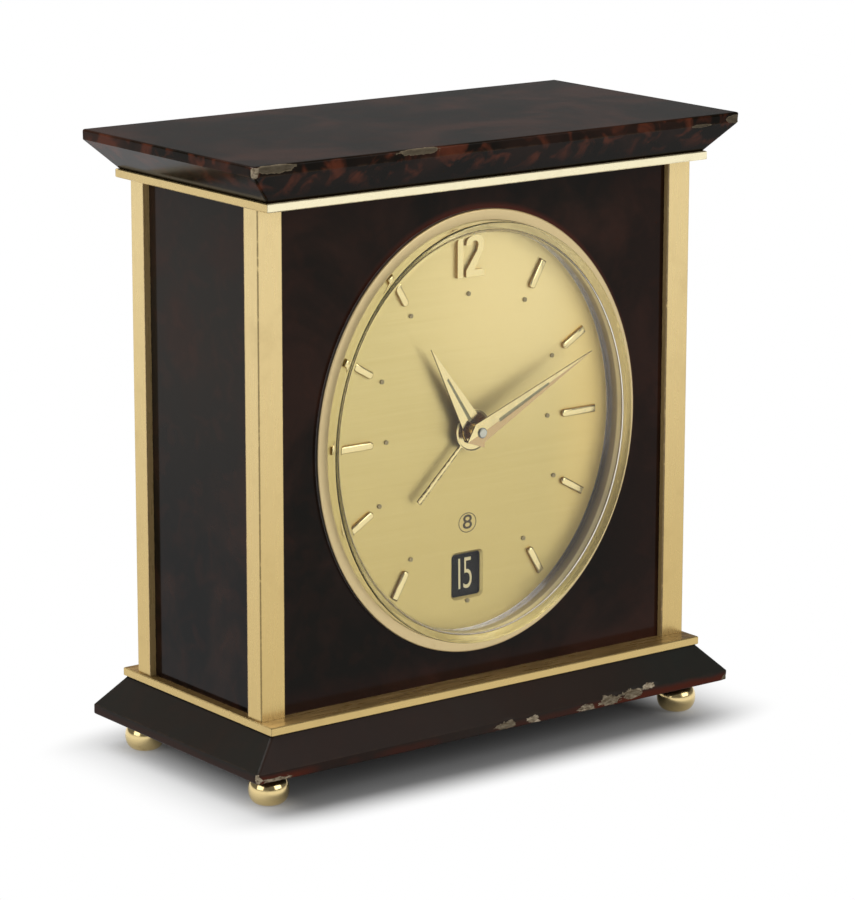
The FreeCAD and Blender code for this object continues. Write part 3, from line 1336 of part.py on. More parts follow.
def make_escapement():
    """Escape wheel, pallet fork, balance wheel and its spring."""
    tips = []
    between = direction_to(ESCAPE_AT, FORK_AT) + 180 / ESCAPE_TEETH
    for tooth in range(ESCAPE_TEETH):
        middle = between + tooth * 360 / ESCAPE_TEETH
        tips.append(clock_point(middle, ESCAPE_RADIUS))
        tips.append(clock_point(middle + 2.5, ESCAPE_RADIUS))
        tips.append(clock_point(middle + 5, ESCAPE_RADIUS - 0.9))
        tips.append(clock_point(middle + 20, ESCAPE_RADIUS - 1.0))
    disc = prism(tips, *Y_ESCAPE_WHEEL)
    disc = disc.cut(windows(0.9, 2.2, 4, 0.5, Y_ESCAPE_WHEEL[0] - 1, Y_ESCAPE_WHEEL[1] + 1))
    leaf_phase = mesh_phase(FOURTH_TEETH, ESCAPE_PINION_TEETH, ESCAPE_ANGLE)
    pinion = toothed(
        ESCAPE_PINION_TEETH, FOURTH_MODULE, leaf_phase,
        Y_FOURTH_WHEEL[0] - 0.3, Y_FOURTH_WHEEL[1] + 0.3, form=PINION_FORM,
    )
    pivot = mm.pivot_radius
    ends = (Y_TRAIN - mm.movement_plate + 0.1, Y_MOVEMENT_BACK - 0.1)
    arbor = shaft((0, ends[0]), (pivot, Y_TRAIN + 0.1), (0.45, Y_REAR_PLATE - 0.1), (pivot, ends[1]))
    movement_piece("escape_wheel", disc.fuse([pinion, arbor]), ESCAPE_AT)

    to_wheel = direction_to(FORK_AT, ESCAPE_AT)
    to_balance = direction_to(FORK_AT, BALANCE_AT)
    start, end = Y_ESCAPE_WHEEL[0] - 0.05, Y_ESCAPE_WHEEL[1] + 0.05
    arms = []
    for side in (-1, 1):
        tip = clock_point(to_wheel + side * 47, 3.75)
        elbow = clock_point(to_wheel + side * 66, 3.4)
        inner = clock_point(to_wheel + side * 60, 2.8)
        root = clock_point(to_wheel + side * 120, 0.5)
        other = clock_point(to_wheel + side * 30, 0.5)
        arms.append(prism([root, elbow, tip, inner, other], start, end))
    near = [clock_point(to_balance - 90, 0.45), clock_point(to_balance + 90, 0.45)]
    far = BALANCE_DISTANCE - 2.6
    neck = [clock_point(to_balance + 6, far), clock_point(to_balance - 6, far)]
    lever = prism([near[0], near[1], neck[0], neck[1]], start, end)
    horns = []
    for side in (-1, 1):
        points = [
            clock_point(to_balance, far - 0.1),
            clock_point(to_balance + side * 9, far - 0.1),
            clock_point(to_balance + side * 10, far + 0.9),
            clock_point(to_balance + side * 5, far + 0.9),
        ]
        horns.append(prism(points, start, end))
    staff = shaft((0, ends[0]), (pivot, Y_TRAIN + 0.1), (0.55, Y_REAR_PLATE - 0.1), (pivot, ends[1]))
    movement_piece("pallet_fork", staff.fuse(arms + [lever] + horns), FORK_AT)

    rim = shaft((0, Y_BALANCE[0]), (mm.balance_radius, Y_BALANCE[1]), bore=mm.balance_radius - 0.9)
    half_arm = mm.balance_radius - 0.5
    arm = prism([(-half_arm, -0.45), (half_arm, -0.45), (half_arm, 0.45), (-half_arm, 0.45)],
                Y_BALANCE[0] + 0.2, Y_BALANCE[1] - 0.2)
    roller = shaft((0, Y_ESCAPE_WHEEL[0] + 1.0), (1.5, Y_ESCAPE_WHEEL[0] + 1.5))
    staff = shaft((0, ends[0]), (pivot, Y_TRAIN + 0.1), (0.6, Y_REAR_PLATE - 0.1), (pivot, ends[1]))
    movement_piece("balance_wheel", rim.fuse([arm, roller, staff]), BALANCE_AT)

    movement_piece("hairspring", spiral(0.9, 3.9, 4.0, 0.16, *Y_HAIRSPRING), BALANCE_AT)


def spiral(inner, outer, turns, width, start, end):
    """A flat coiled ribbon with its outer end carried out to a stud in the rear plate."""
    steps = int(turns * 16)
    inside, outside = [], []
    for step in range(steps + 1):
        share = step / steps
        radius = inner + share * (outer - inner)
        angle = 360 * turns * share
        inside.append(clock_point(angle, radius - width / 2))
        outside.append(clock_point(angle, radius + width / 2))
    ribbon = prism(inside + outside[::-1], start, end)
    x, z = clock_point(360 * turns, outer)
    stud = shaft((0, start), (0.35, Y_REAR_PLATE))
    stud.translate(Vector(x, 0, z))
    return ribbon.fuse(stud)


def make_alarm_train():
    """Alarm barrel, strike wheel and hammer."""
    make_barrel(
        "alarm_barrel", ALARM_BARREL_AT, mm.alarm_barrel_radius,
        ALARM_BARREL_TEETH, ALARM_BARREL_MODULE, 0,
    )
    leaf_phase = mesh_phase(ALARM_BARREL_TEETH, STRIKE_PINION_TEETH, STRIKE_ANGLE)
    pinion = toothed(
        STRIKE_PINION_TEETH, ALARM_BARREL_MODULE, leaf_phase,
        Y_GREAT_WHEEL[0] - 0.2, Y_GREAT_WHEEL[1] + 0.2, form=PINION_FORM,
    )
    tips = []
    for tooth in range(STRIKE_TEETH):
        tips.append(clock_point(tooth * 360 / STRIKE_TEETH, 5.0))
        tips.append(clock_point((tooth + 0.3) * 360 / STRIKE_TEETH, 3.9))
    wheel = prism(tips, Y_INTERMEDIATE[0], Y_INTERMEDIATE[1] + 0.2)
    pivot = mm.pivot_radius
    ends = (Y_TRAIN - mm.movement_plate + 0.1, Y_MOVEMENT_BACK - 0.1)
    arbor = shaft((0, ends[0]), (pivot, Y_TRAIN + 0.1), (0.7, Y_REAR_PLATE - 0.1), (pivot, ends[1]))
    movement_piece("strike_wheel", wheel.fuse([pinion, arbor]), STRIKE_AT)

    to_wheel = direction_to(HAMMER_AT, STRIKE_AT)
    y = (Y_INTERMEDIATE[0], Y_INTERMEDIATE[1] + 0.2)
    tip = HAMMER_DISTANCE - 5.3
    paddle = prism(
        [
            clock_point(to_wheel - 90, 0.7),
            clock_point(to_wheel - 8, tip),
            clock_point(to_wheel + 8, tip),
            clock_point(to_wheel + 90, 0.7),
        ],
        *y,
    )
    head_at = clock_point(285, 8.0)
    arm = prism(
        [
            clock_point(195, 0.6),
            (head_at[0], head_at[1] - 0.6),
            (head_at[0], head_at[1] + 0.6),
            clock_point(15, 0.6),
        ],
        *y,
    )
    head = shaft((0, y[0] - 1.6), (1.7, y[1] + 0.4))
    head.translate(Vector(head_at[0], 0, head_at[1]))
    arbor = shaft((0, ends[0]), (pivot, Y_TRAIN + 0.1), (0.8, Y_REAR_PLATE - 0.1), (pivot, ends[1]))
    movement_piece("alarm_hammer", arbor.fuse([paddle, arm, head]), HAMMER_AT)


# ------------------------------------------------------------------------------ back


def make_back_cover():
    """The round brass cover with holes for keys, knobs and buttons and a slot for the regulator."""
    cover = shaft((0, Y_BACK_PANEL), (mm.back_cover_radius, Y_COVER_BACK))
    depth = mm.back_cover_thickness + 2
    holes = [(0, 0, 1.5), (*ALARM_SETTING_AT, 1.4), (*TIME_BARREL_AT, 2.1), (*ALARM_BARREL_AT, 2.1)]
    holes += [(*CORRECTOR_AT, 1.3 + mm.shaft_play), (*STOP_AT, 2.0 + mm.shaft_play)]
    holes += [(x, z, mm.screw_radius) for x, z in cover_screws()]
    tools = [
        Part.makeCylinder(radius, depth, Vector(x, Y_BACK_PANEL - 1, z), Vector(0, 1, 0))
        for x, z, radius in holes
    ]
    near, far = REGULATOR_REACH - 0.75, REGULATOR_REACH + 0.75
    slot = [clock_point(angle, far, BALANCE_AT) for angle in REGULATOR_SLOT]
    slot += [clock_point(angle, near, BALANCE_AT) for angle in reversed(REGULATOR_SLOT)]
    tools.append(prism(slot, Y_BACK_PANEL - 1, Y_COVER_BACK + 1))
    movement_piece("back_cover", cover.cut(tools))


def make_knob(label, centre, radius, flutes):
    """A fluted setting knob that grips the end of its arbor."""
    knob = body(label)
    knob.Placement = Placement(Vector(), Rotation(Vector(1, 0, 0), -90))
    place(knob, centre[0], Y_KNOBS, Z_DIAL + centre[1])
    outline = sketch_on(knob, f"{label}_outline")
    draw_circle(outline, (0, 0), radius)
    pad(knob, f"{label}_blank", outline, mm.knob_length)
    top = mm.knob_length
    dress(knob, "Chamfer", f"{label}_rim", 0.35, lambda edge: at_height(edge, top))
    bite = sketch_on(knob, f"{label}_flute_outline", lift=0.9)
    draw_circle(bite, (radius + 0.25, 0), 0.5)
    flute = pocket(knob, f"{label}_flute", bite, mm.knob_length)
    flute.Reversed = True
    doc.recompute()
    pattern = knob.newObject("PartDesign::PolarPattern", f"{label}_flutes")
    pattern.Originals = [flute]
    pattern.Axis = (bite, ["N_Axis"])
    pattern.Angle = 360
    pattern.Occurrences = flutes
    knob.Tip = pattern
    doc.recompute()
    socket = sketch_on(knob, f"{label}_socket_outline")
    arbor = mm.arbor_radius if centre == (0, 0) else mm.arbor_radius - 0.1
    draw_circle(socket, (0, 0), arbor)
    hole = pocket(knob, f"{label}_socket", socket, 0.6 * mm.knob_length)
    hole.Reversed = True
    keep(knob, label)


def make_key(label, centre):
    """A winding key: a turned boss with a flat wing to grip."""
    boss = shaft((0, Y_KNOBS), (2.6, Y_KNOBS + 2.6), (2.1, Y_KNOBS + 3.0))
    half = mm.key_wing / 2
    low = Y_KNOBS + 1.5
    wing = Part.makeBox(mm.key_wing, mm.key_wing_height, mm.key_wing_thickness)
    wing.translate(Vector(-half, low, -mm.key_wing_thickness / 2))
    soft = min(1.9, 0.45 * mm.key_wing_height)
    ends = [
        edge for edge in wing.Edges
        if edge.BoundBox.ZLength > 0.9 * mm.key_wing_thickness
    ]
    wing = wing.makeFillet(soft, ends)
    hole = shaft((0, -30), (mm.barrel_arbor_radius, Y_KNOBS + 2.4))
    key = boss.fuse(wing).cut(hole)
    movement_piece(label, key, centre)


def make_buttons():
    """The alarm stop, the date corrector and the regulator lever."""
    stop = shaft((0, Y_REAR_PLATE - 1.0), (1.0, Y_BACK_PANEL - 1.5), (2.0, Y_COVER_BACK + 4.0))
    movement_piece("alarm_stop_button", stop, STOP_AT)
    tip = Y_CALENDAR_BACK + 0.2
    pusher = shaft((0, tip), (0.8, Y_BACK_PANEL - 2.0), (1.3, Y_COVER_BACK + 2.2))
    movement_piece("date_corrector", pusher, CORRECTOR_AT)
    y = (Y_MOVEMENT_BACK + 0.2, Y_MOVEMENT_BACK + 0.8)
    ring = shaft((0, y[0]), (1.7, y[1]), bore=0.7)
    arm = prism([(-0.5, 1.2), (-0.5, REGULATOR_REACH), (0.5, REGULATOR_REACH), (0.5, 1.2)], *y)
    pointer = shaft((0, y[0]), (0.5, Y_COVER_BACK + 1.2))
    pointer.translate(Vector(0, 0, REGULATOR_REACH))
    movement_piece("regulator_lever", ring.fuse([arm, pointer]), BALANCE_AT)


# ------------------------------------------------------------------------------ build and export


def build():
    make_cap()
    make_plinth()
    make_plate("top_plate", Z_TOP_PLATE)
    make_plate("bottom_plate", Z_BOTTOM_PLATE)
    for side, side_name in ((-1, "left"), (1, "right")):
        make_side_panel(f"{side_name}_panel", side)
        make_post(f"post_front_{side_name}", side, -1)
        make_post(f"post_rear_{side_name}", side, 1)
    make_front_panel()
    make_rear_panel()
    make_feet()
    make_tie_bolts()
    make_bezel()
    make_crystal()
    make_dial()
    make_hour_batons()
    make_twelve()
    make_luminous_dots()
    make_hands()
    make_motion_work()
    make_centre_arbor()
    make_date_disc()
    make_calendar_plate()
    make_plates()
    make_pillars()
    make_screws()
    make_going_train()
    make_escapement()
    make_winding_arbor("time_winding_arbor", TIME_BARREL_AT)
    make_alarm_train()
    make_winding_arbor("alarm_winding_arbor", ALARM_BARREL_AT)
    make_back_cover()
    make_knob("hand_setting_knob", (0, 0), mm.knob_radius, 12)
    make_knob("alarm_setting_knob", ALARM_SETTING_AT, mm.knob_radius - 0.3, 12)
    make_key("time_winding_key", TIME_BARREL_AT)
    make_key("alarm_winding_key", ALARM_BARREL_AT)
    make_buttons()
    doc.recompute()


def check():
    """Stop before anything is written if an object failed or a shape is unsound."""
    for item in doc.Objects:
        if "Invalid" in item.State or "Error" in item.State:
            raise RuntimeError(f"{item.Name} failed: {item.State}")
    for item in sub_parts:
        shape = item.Shape
        if shape.isNull() or not shape.isValid() or not shape.Solids:
            raise RuntimeError(f"{item.Label} has no sound shape")


def export():
    os.makedirs("parts", exist_ok=True)
    for item in sub_parts:
        item.Shape.exportStep(f"parts/{item.Label}.step")
        print(f"{item.Label}: {len(item.Shape.Solids)} solids, {item.Shape.Volume:.2f} mm3")


build()
check()
export()
print(len(sub_parts), "sub-parts")
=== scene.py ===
import math

import bmesh
import bpy
from bpy.props import FloatProperty, FloatVectorProperty, IntProperty, PointerProperty
from mathutils import Matrix, Vector, noise


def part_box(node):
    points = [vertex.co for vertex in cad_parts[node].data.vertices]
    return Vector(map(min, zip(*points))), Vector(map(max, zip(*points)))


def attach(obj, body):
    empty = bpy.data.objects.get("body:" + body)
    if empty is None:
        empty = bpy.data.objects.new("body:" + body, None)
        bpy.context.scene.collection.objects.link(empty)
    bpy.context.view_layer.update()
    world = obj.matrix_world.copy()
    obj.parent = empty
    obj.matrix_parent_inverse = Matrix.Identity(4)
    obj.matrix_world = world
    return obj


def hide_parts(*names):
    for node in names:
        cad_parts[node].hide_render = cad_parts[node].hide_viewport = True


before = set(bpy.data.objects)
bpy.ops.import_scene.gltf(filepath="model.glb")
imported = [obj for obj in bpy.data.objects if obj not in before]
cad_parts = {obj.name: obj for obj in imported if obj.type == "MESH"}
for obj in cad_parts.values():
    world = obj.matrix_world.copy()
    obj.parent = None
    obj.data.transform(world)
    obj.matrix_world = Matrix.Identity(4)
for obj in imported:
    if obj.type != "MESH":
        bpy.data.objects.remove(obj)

bl_info = {
    "name": "Desk Clock",
    "version": (1, 0, 0),
    "blender": (4, 5, 0),
    "location": "View3D > Sidebar > Desk Clock",
    "description": "Dresses the frame of a brass and lacquer desk clock",
    "category": "Object",
}

MM = 0.001
NEAR = 1e-7
PRINT = 0.00002
UP = Vector((0, 0, 1))
FRONT = (0, -1, 0)
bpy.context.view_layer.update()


# ---------- sizes and colours


def length(description, default):
    return FloatProperty(description=description, default=default, unit="LENGTH")


def angle(description, default):
    return FloatProperty(description=description, default=default, subtype="ANGLE")


def amount(description, default):
    return FloatProperty(description=description, default=default, min=0)


def colour(description, default):
    return FloatVectorProperty(
        description=description, default=default, subtype="COLOR", size=3, min=0, max=1
    )


class ClockSizes(bpy.types.PropertyGroup):
    """Sizes of the clock's dressed pieces, in metres"""

    lip: length("Upright edge of the cap and plinth", 0.0019)
    seat_inset_x: length("Gap beside a brass plate's seat", 0.0004)
    seat_inset_y: length("Gap before a brass plate's seat", 0.0005)
    lacquer_edge: length("Rounding of the lacquered edges", 0.0004)
    cap_round: length("Rounding above the cap's slope", 0.00083)
    plinth_round: length("Rounding below the plinth's slope", 0.00033)
    corner_round: length("Rounding of the cap's and plinth's corners", 0.00045)
    foot_radius: length("Radius of a foot", 0.00375)
    foot_flat: length("Radius of the flat under a foot", 0.0016)
    foot_neck: length("Radius of the neck above a foot", 0.0022)
    neck_height: length("Height of the neck above a foot", 0.001)
    bezel_ring: length("Width of the bezel's face", 0.00205)
    bezel_edge: length("Rounding of the bezel's outer edge", 0.0003)
    bezel_sleeve: length("Inset of the bezel's sleeve", 0.00145)
    crystal_wall: length("Thickness of the crystal's side wall", 0.0014)
    crystal_front: length("Thickness of the crystal's flat front", 0.0012)
    crystal_round: length("Rounding of the crystal's front edge", 0.0004)
    crystal_gap: length("Air between the crystal and the dial", 0.00003)
    baton_width: length("Width of an hour bar", 0.00145)
    baton_rise: length("Height of an hour bar above the dial", 0.00075)
    baton_length: length("Length of an hour bar", 0.0058)
    long_baton: length("Length of the hour bars at 3 and 9", 0.0080)
    baton_reach_x: length("Where hour bars end to the sides", 0.0299)
    baton_reach_z: length("Where hour bars end above and below", 0.0364)
    mark_drop: length("Drop of the printed mark", 0.0178)
    number_height: length("Height of a date number", 0.00586)
    number_radius: length("Reach of the date numbers", 0.0281)
    number_lead: angle("Turn of the date numbers", 0.014)
    screw_length: length("Length of a screw under its head", 0.0044)
    screw_radius: length("Radius of a screw under its head", 0.0008)
    head_radius: length("Radius of a screw's head", 0.0015)
    head_height: length("Height of a screw's head", 0.0008)
    oval_steps: IntProperty(description="Segments of an oval ring", default=192, min=24)


class ClockColours(bpy.types.PropertyGroup):
    """Base colours of the clock's finishes"""

    lacquer_dark: colour("Ground of the lacquer", (0.0052, 0.0037, 0.0020))
    lacquer_warm: colour("Soft clouds in the lacquer", (0.025, 0.0105, 0.0064))
    lacquer_red: colour("Red patches in the lacquer", (0.100, 0.025, 0.011))
    plinth_black: colour("Ground of the plinth's lacquer", (0.0155, 0.0158, 0.0136))
    lacquer_glow: colour("Red of thin lacquer on an edge", (0.085, 0.018, 0.009))
    rubbed: colour("Lacquer rubbed through on an edge", (0.10, 0.055, 0.028))
    filler: colour("Ground bared by a chip", (0.50, 0.42, 0.30))
    brass: colour("Satin brass of the frame", (0.80, 0.625, 0.305))
    tarnish: colour("Brown tarnish on the brass", (0.26, 0.155, 0.05))
    gilt: colour("Gilt of the hands and markers", (0.87, 0.73, 0.37))
    # Painted shade: a dark tint for the sides and backs of the hands, which their reflections show.
    hand_side: colour("Darkened sides of the hands", (0.10, 0.050, 0.014))
    dial: colour("Champagne of the dial", (0.715, 0.595, 0.262))
    bezel: colour("Gilt of the ring round the window", (0.70, 0.55, 0.29))
    lume: colour("Aged luminous paint of the dots", (0.31, 0.245, 0.112))
    hand_lume: colour("Aged luminous paint of the hands", (0.30, 0.27, 0.14))
    ink: colour("Printed marks", (0.060, 0.040, 0.014))
    cream: colour("Date numbers", (0.76, 0.66, 0.36))
    date_black: colour("Ground of the date ring", (0.0045, 0.004, 0.0035))
    movement: colour("Brass of the movement", (0.74, 0.56, 0.26))
    steel: colour("Screws, bolts and arbors", (0.55, 0.55, 0.56))
    arbor_end: colour("End of the middle arbor", (0.54, 0.54, 0.46))


class ClockStudio(bpy.types.PropertyGroup):
    """Camera and light"""

    lens: amount("Focal length in mm", 156.99)
    yaw: angle("Turn of the camera to the right", 0.6467)
    pitch: angle("Tilt of the camera downwards", 0.2312)
    roll: angle("Roll of the camera", 0.0016)
    place: FloatVectorProperty(
        description="Where the camera stands", default=(-0.42992, -0.57326, 0.22317),
        subtype="XYZ", unit="LENGTH", size=3,
    )
    ambient: amount("Soft light all round", 0.45)
    key: amount("Power of the overhead light", 9.0)
    fill: amount("Power of the light in front", 5.0)


def sizes():
    return bpy.context.scene.clock_sizes


def colours():
    return bpy.context.scene.clock_colours


def scaled(tint, *shares):
    """A colour with its three parts made lighter or darker, by a share each or by one for all."""
    return tuple(part * share for part, share in zip(tint, shares * (3 // len(shares))))


# ---------- mesh helpers


def span(node):
    """Lowest and highest corner of a node of the frame."""
    low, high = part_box(node)
    return Vector(low), Vector(high)


def middle(node):
    low, high = span(node)
    return (low + high) / 2


def half(node):
    """Half of a node's size along x, y and z."""
    low, high = span(node)
    return (high - low) / 2


def link(made):
    bpy.context.scene.collection.objects.link(made)
    return made


def piece(name, bm, material, body, *nodes, slot=None, sharp=35, closed=True, flat=False):
    """Make a bmesh into a piece that rides on a body and stands for some nodes."""
    bmesh.ops.remove_doubles(bm, verts=bm.verts[:], dist=NEAR)
    if closed:
        bmesh.ops.recalc_face_normals(bm, faces=bm.faces[:])
    mesh = bpy.data.meshes.new(name)
    bm.to_mesh(mesh)
    bm.free()
    mesh.shade_smooth()
    mesh.set_sharp_from_angle(angle=math.radians(sharp))
    mesh.materials.append(material)
    made = link(bpy.data.objects.new(name, mesh))
    if flat:
        shading = made.modifiers.new("flat_faces", "WEIGHTED_NORMAL")
        shading.keep_sharp = True
        shading.weight = 100
    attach(made, body)
    if nodes:
        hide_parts(*nodes)
    return made


def finish(material, *nodes):
    """Give nodes of the frame a finish."""
    for name in nodes:
        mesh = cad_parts[name].data
        mesh.materials.clear()
        mesh.materials.append(material)


def ending(*ends):
    """The nodes of the frame whose names end so."""
    return [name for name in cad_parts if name.endswith(ends)]


def add_box(bm, centre, lengths):
    bmesh.ops.create_cube(bm, size=1, matrix=Matrix.Translation(centre) @ Matrix.Diagonal((*lengths, 1)))


def pour(mesh, bm, place):
    """Carry a mesh to its place inside a bmesh, and drop it."""
    mesh.transform(place)
    bm.from_mesh(mesh)
    bpy.data.meshes.remove(mesh)


def pour_part(part, bm, place):
    """Carry a bmesh to its place inside another one, and drop it."""
    mesh = bpy.data.meshes.new("part")
    part.to_mesh(mesh)
    part.free()
    pour(mesh, bm, place)


def edges_where(bm, test):
    """The edges whose ends both pass a test of their place."""
    return [edge for edge in bm.edges if all(test(vert.co) for vert in edge.verts)]


def new_verts(grown):
    return [item for item in grown["geom"] if isinstance(item, bmesh.types.BMVert)]


def bevel(bm, edges, offset, segments):
    bmesh.ops.bevel(
        bm, geom=edges, offset=offset, offset_type="OFFSET", segments=segments, profile=0.5,
        affect="EDGES", clamp_overlap=True, material=-1,
    )


def slice_along(bm, axis, places):
    """Cut straight through the mesh at several places along an axis."""
    normal = Vector([float(axis == n) for n in range(3)])
    for place in places:
        bmesh.ops.bisect_plane(
            bm, geom=bm.verts[:] + bm.edges[:] + bm.faces[:], dist=NEAR,
            plane_co=normal * place, plane_no=normal,
        )


def turned(bm, profile, centre, axis, steps=48):
    """Spin a profile of (radius, height) about an axis through a centre."""
    side = UP if abs(axis.z) < 0.5 else Vector((1, 0, 0))
    verts = [bm.verts.new(centre + side * radius + axis * height) for radius, height in profile]
    edges = [bm.edges.new(pair) for pair in zip(verts, verts[1:])]
    bmesh.ops.spin(
        bm, geom=verts + edges, cent=centre, axis=axis, angle=math.tau, steps=steps,
        use_merge=True, use_duplicate=False,
    )


def quarter(steps):
    """Places on a quarter circle of radius 1, from (0, 1) round to (1, 0)."""
    turns = [math.pi / 2 * step / steps for step in range(steps + 1)]
    return [(1 - math.cos(turn), 1 - math.sin(turn)) for turn in turns]


def oval_tube(bm, centre, half_size, profile, steps):
    """Carry an oval through (inset, y) places. Give its first and last rings of edges."""
    inset, y = profile[0]
    turn = Matrix.Translation((centre.x, y, centre.z)) @ Matrix.Rotation(math.pi / 2, 4, "X")
    shape = turn @ Matrix.Diagonal((half_size.x - inset, half_size.z - inset, 1, 1))
    bmesh.ops.create_circle(bm, cap_ends=False, radius=1, segments=steps, matrix=shape)
    first = ring = bm.edges[:]
    about = Matrix.Translation((-centre.x, 0, -centre.z))
    for (inset, y), (next_inset, next_y) in zip(profile, profile[1:]):
        grown = bmesh.ops.extrude_edge_only(bm, edges=ring)
        verts = new_verts(grown)
        ring = [item for item in grown["geom"] if isinstance(item, bmesh.types.BMEdge)]
        ring = [edge for edge in ring if all(vert in set(verts) for vert in edge.verts)]
        wide, high = ((size - next_inset) / (size - inset) for size in (half_size.x, half_size.z))
        bmesh.ops.scale(bm, vec=(wide, 1, high), space=about, verts=verts)
        bmesh.ops.translate(bm, vec=(0, next_y - y, 0), verts=verts)
    return first, ring


# ---------- finishes


class Shading:
    """A tree of shader nodes."""

    def __init__(self, owner, output):
        owner.use_nodes = True
        self.tree = owner.node_tree
        self.tree.nodes.clear()
        self.output = self.node(output)

    def feed(self, socket, value):
        if isinstance(value, bpy.types.NodeSocket):
            self.tree.links.new(value, socket)
        elif socket.type == "RGBA" and len(value) == 3:
            socket.default_value = (*value, 1)
        else:
            socket.default_value = value

    def node(self, kind, inputs=None, **settings):
        made = self.tree.nodes.new(f"ShaderNode{kind}")
        for name, value in settings.items():
            setattr(made, name, value)
        for name, value in (inputs or {}).items():
            self.feed(made.inputs[name], value)
        return made

    def show(self, shader):
        """Send a shader to the output."""
        self.feed(self.output.inputs["Surface"], shader.outputs[0])

    def show_mix(self, amount, first, second):
        """Send a mix of two shaders to the output."""
        self.show(self.node("MixShader", {0: amount, 1: first.outputs[0], 2: second.outputs[0]}))

    def reckon(self, operation, first, second=0.0):
        return self.node("Math", {0: first, 1: second}, operation=operation).outputs[0]

    def sum(self, first, second):
        return self.reckon("ADD", first, second)

    def times(self, first, *others):
        for other in others:
            first = self.reckon("MULTIPLY", first, other)
        return first

    def most(self, first, second):
        return self.reckon("MAXIMUM", first, second)

    def step(self, value, low, high, start=0.0, end=1.0):
        """Carry a value from one range to another, with soft ends."""
        inputs = {"Value": value, "From Min": low, "From Max": high, "To Min": start, "To Max": end}
        return self.node("MapRange", inputs, interpolation_type="SMOOTHSTEP").outputs[0]

    def split(self, vector):
        return self.node("SeparateXYZ", {"Vector": vector}).outputs

    def seen(self):
        """1 for rays that show a thing to the camera, straight, in a mirror or through glass."""
        path = self.node("LightPath").outputs
        straight = self.most(path["Is Camera Ray"], path["Is Glossy Ray"])
        return self.most(straight, path["Is Transmission Ray"])


class Finish(Shading):
    """A material. Its patterns are laid out in millimetres of the clock's own frame."""

    def __init__(self, name, base=None):
        self.material = bpy.data.materials.new(name)
        self.base = base
        super().__init__(self.material, "OutputMaterial")
        place = self.node("TexCoord").outputs["Object"]
        self.mm = self.node("VectorMath", {0: place, "Scale": 1 / MM}, operation="SCALE").outputs[0]
        self.x, self.y, self.z = self.split(self.mm)

    def vector(self, operation, first, second=(0, 0, 0), gives="Vector"):
        return self.node("VectorMath", {0: first, 1: second}, operation=operation).outputs[gives]

    def measure(self, operation, first, second=(0, 0, 0)):
        return self.vector(operation, first, second, "Value")

    def flattened(self):
        """Places as seen from the front, without their depth."""
        return self.vector("MULTIPLY", self.mm, (1, 0, 1))

    def off_axis(self, centre):
        """Distance from a line that runs from front to back."""
        return self.measure("DISTANCE", self.flattened(), (centre.x / MM, 0, centre.z / MM))

    def noise(self, scale, detail=3.0, roughness=0.5, distortion=0.0, stretch=None):
        place = self.vector("MULTIPLY", self.mm, stretch) if stretch else self.mm
        inputs = {
            "Vector": place, "Scale": scale, "Detail": detail, "Roughness": roughness,
            "Distortion": distortion,
        }
        return self.node("TexNoise", inputs).outputs[0]

    def ramp(self, value, *stops):
        made = self.node("ValToRGB", {"Fac": value})
        band = made.color_ramp
        while len(band.elements) < len(stops):
            band.elements.new(0.5)
        for element, (position, tint) in zip(band.elements, stops):
            element.position = position
            element.color = (*tint, 1)
        return made.outputs["Color"]

    def blend(self, amount, first, second):
        """Mix two colours: sockets 6, 7 and 2 of the node are its colours."""
        return self.node("Mix", {0: amount, 6: first, 7: second}, data_type="RGBA").outputs[2]

    def bump(self, height, strength, distance, normal=None):
        inputs = {"Height": height, "Strength": strength, "Distance": distance}
        if normal:
            inputs["Normal"] = normal
        return self.node("Bump", inputs).outputs[0]

    def true_normal(self):
        return self.node("NewGeometry").outputs["True Normal"]

    def edge(self, radius, full):
        """How much of an edge there is: by how far a normal rounded by a radius leans."""
        soft = self.node("Bevel", {"Radius": radius * MM}, samples=4).outputs[0]
        lean = self.reckon("SUBTRACT", 1.0, self.measure("DOT_PRODUCT", soft, self.true_normal()))
        return self.step(lean, 0.03, full)

    def facing(self, direction, low, high, start=0.0, end=1.0):
        """A step by how squarely the surface faces a direction of the clock."""
        share = self.measure("DOT_PRODUCT", self.true_normal(), direction)
        return self.step(share, low, high, start, end)

    def lay(self, amount, tint):
        """Lay a colour over those the finish has so far."""
        self.base = self.blend(amount, self.base, tint)

    def surface(self, rough, solid=0.0, bump=None, gloss=0.5):
        inputs = {
            "Base Color": self.base, "Metallic": solid, "Roughness": rough, "Specular IOR Level": gloss,
        }
        if bump:
            inputs["Normal"] = bump
        self.show(self.node("BsdfPrincipled", inputs))
        return self.material


def laid(pattern, paint):
    """A plain value, or what a function makes of a finish's coordinates."""
    return pattern(paint) if callable(pattern) else pattern


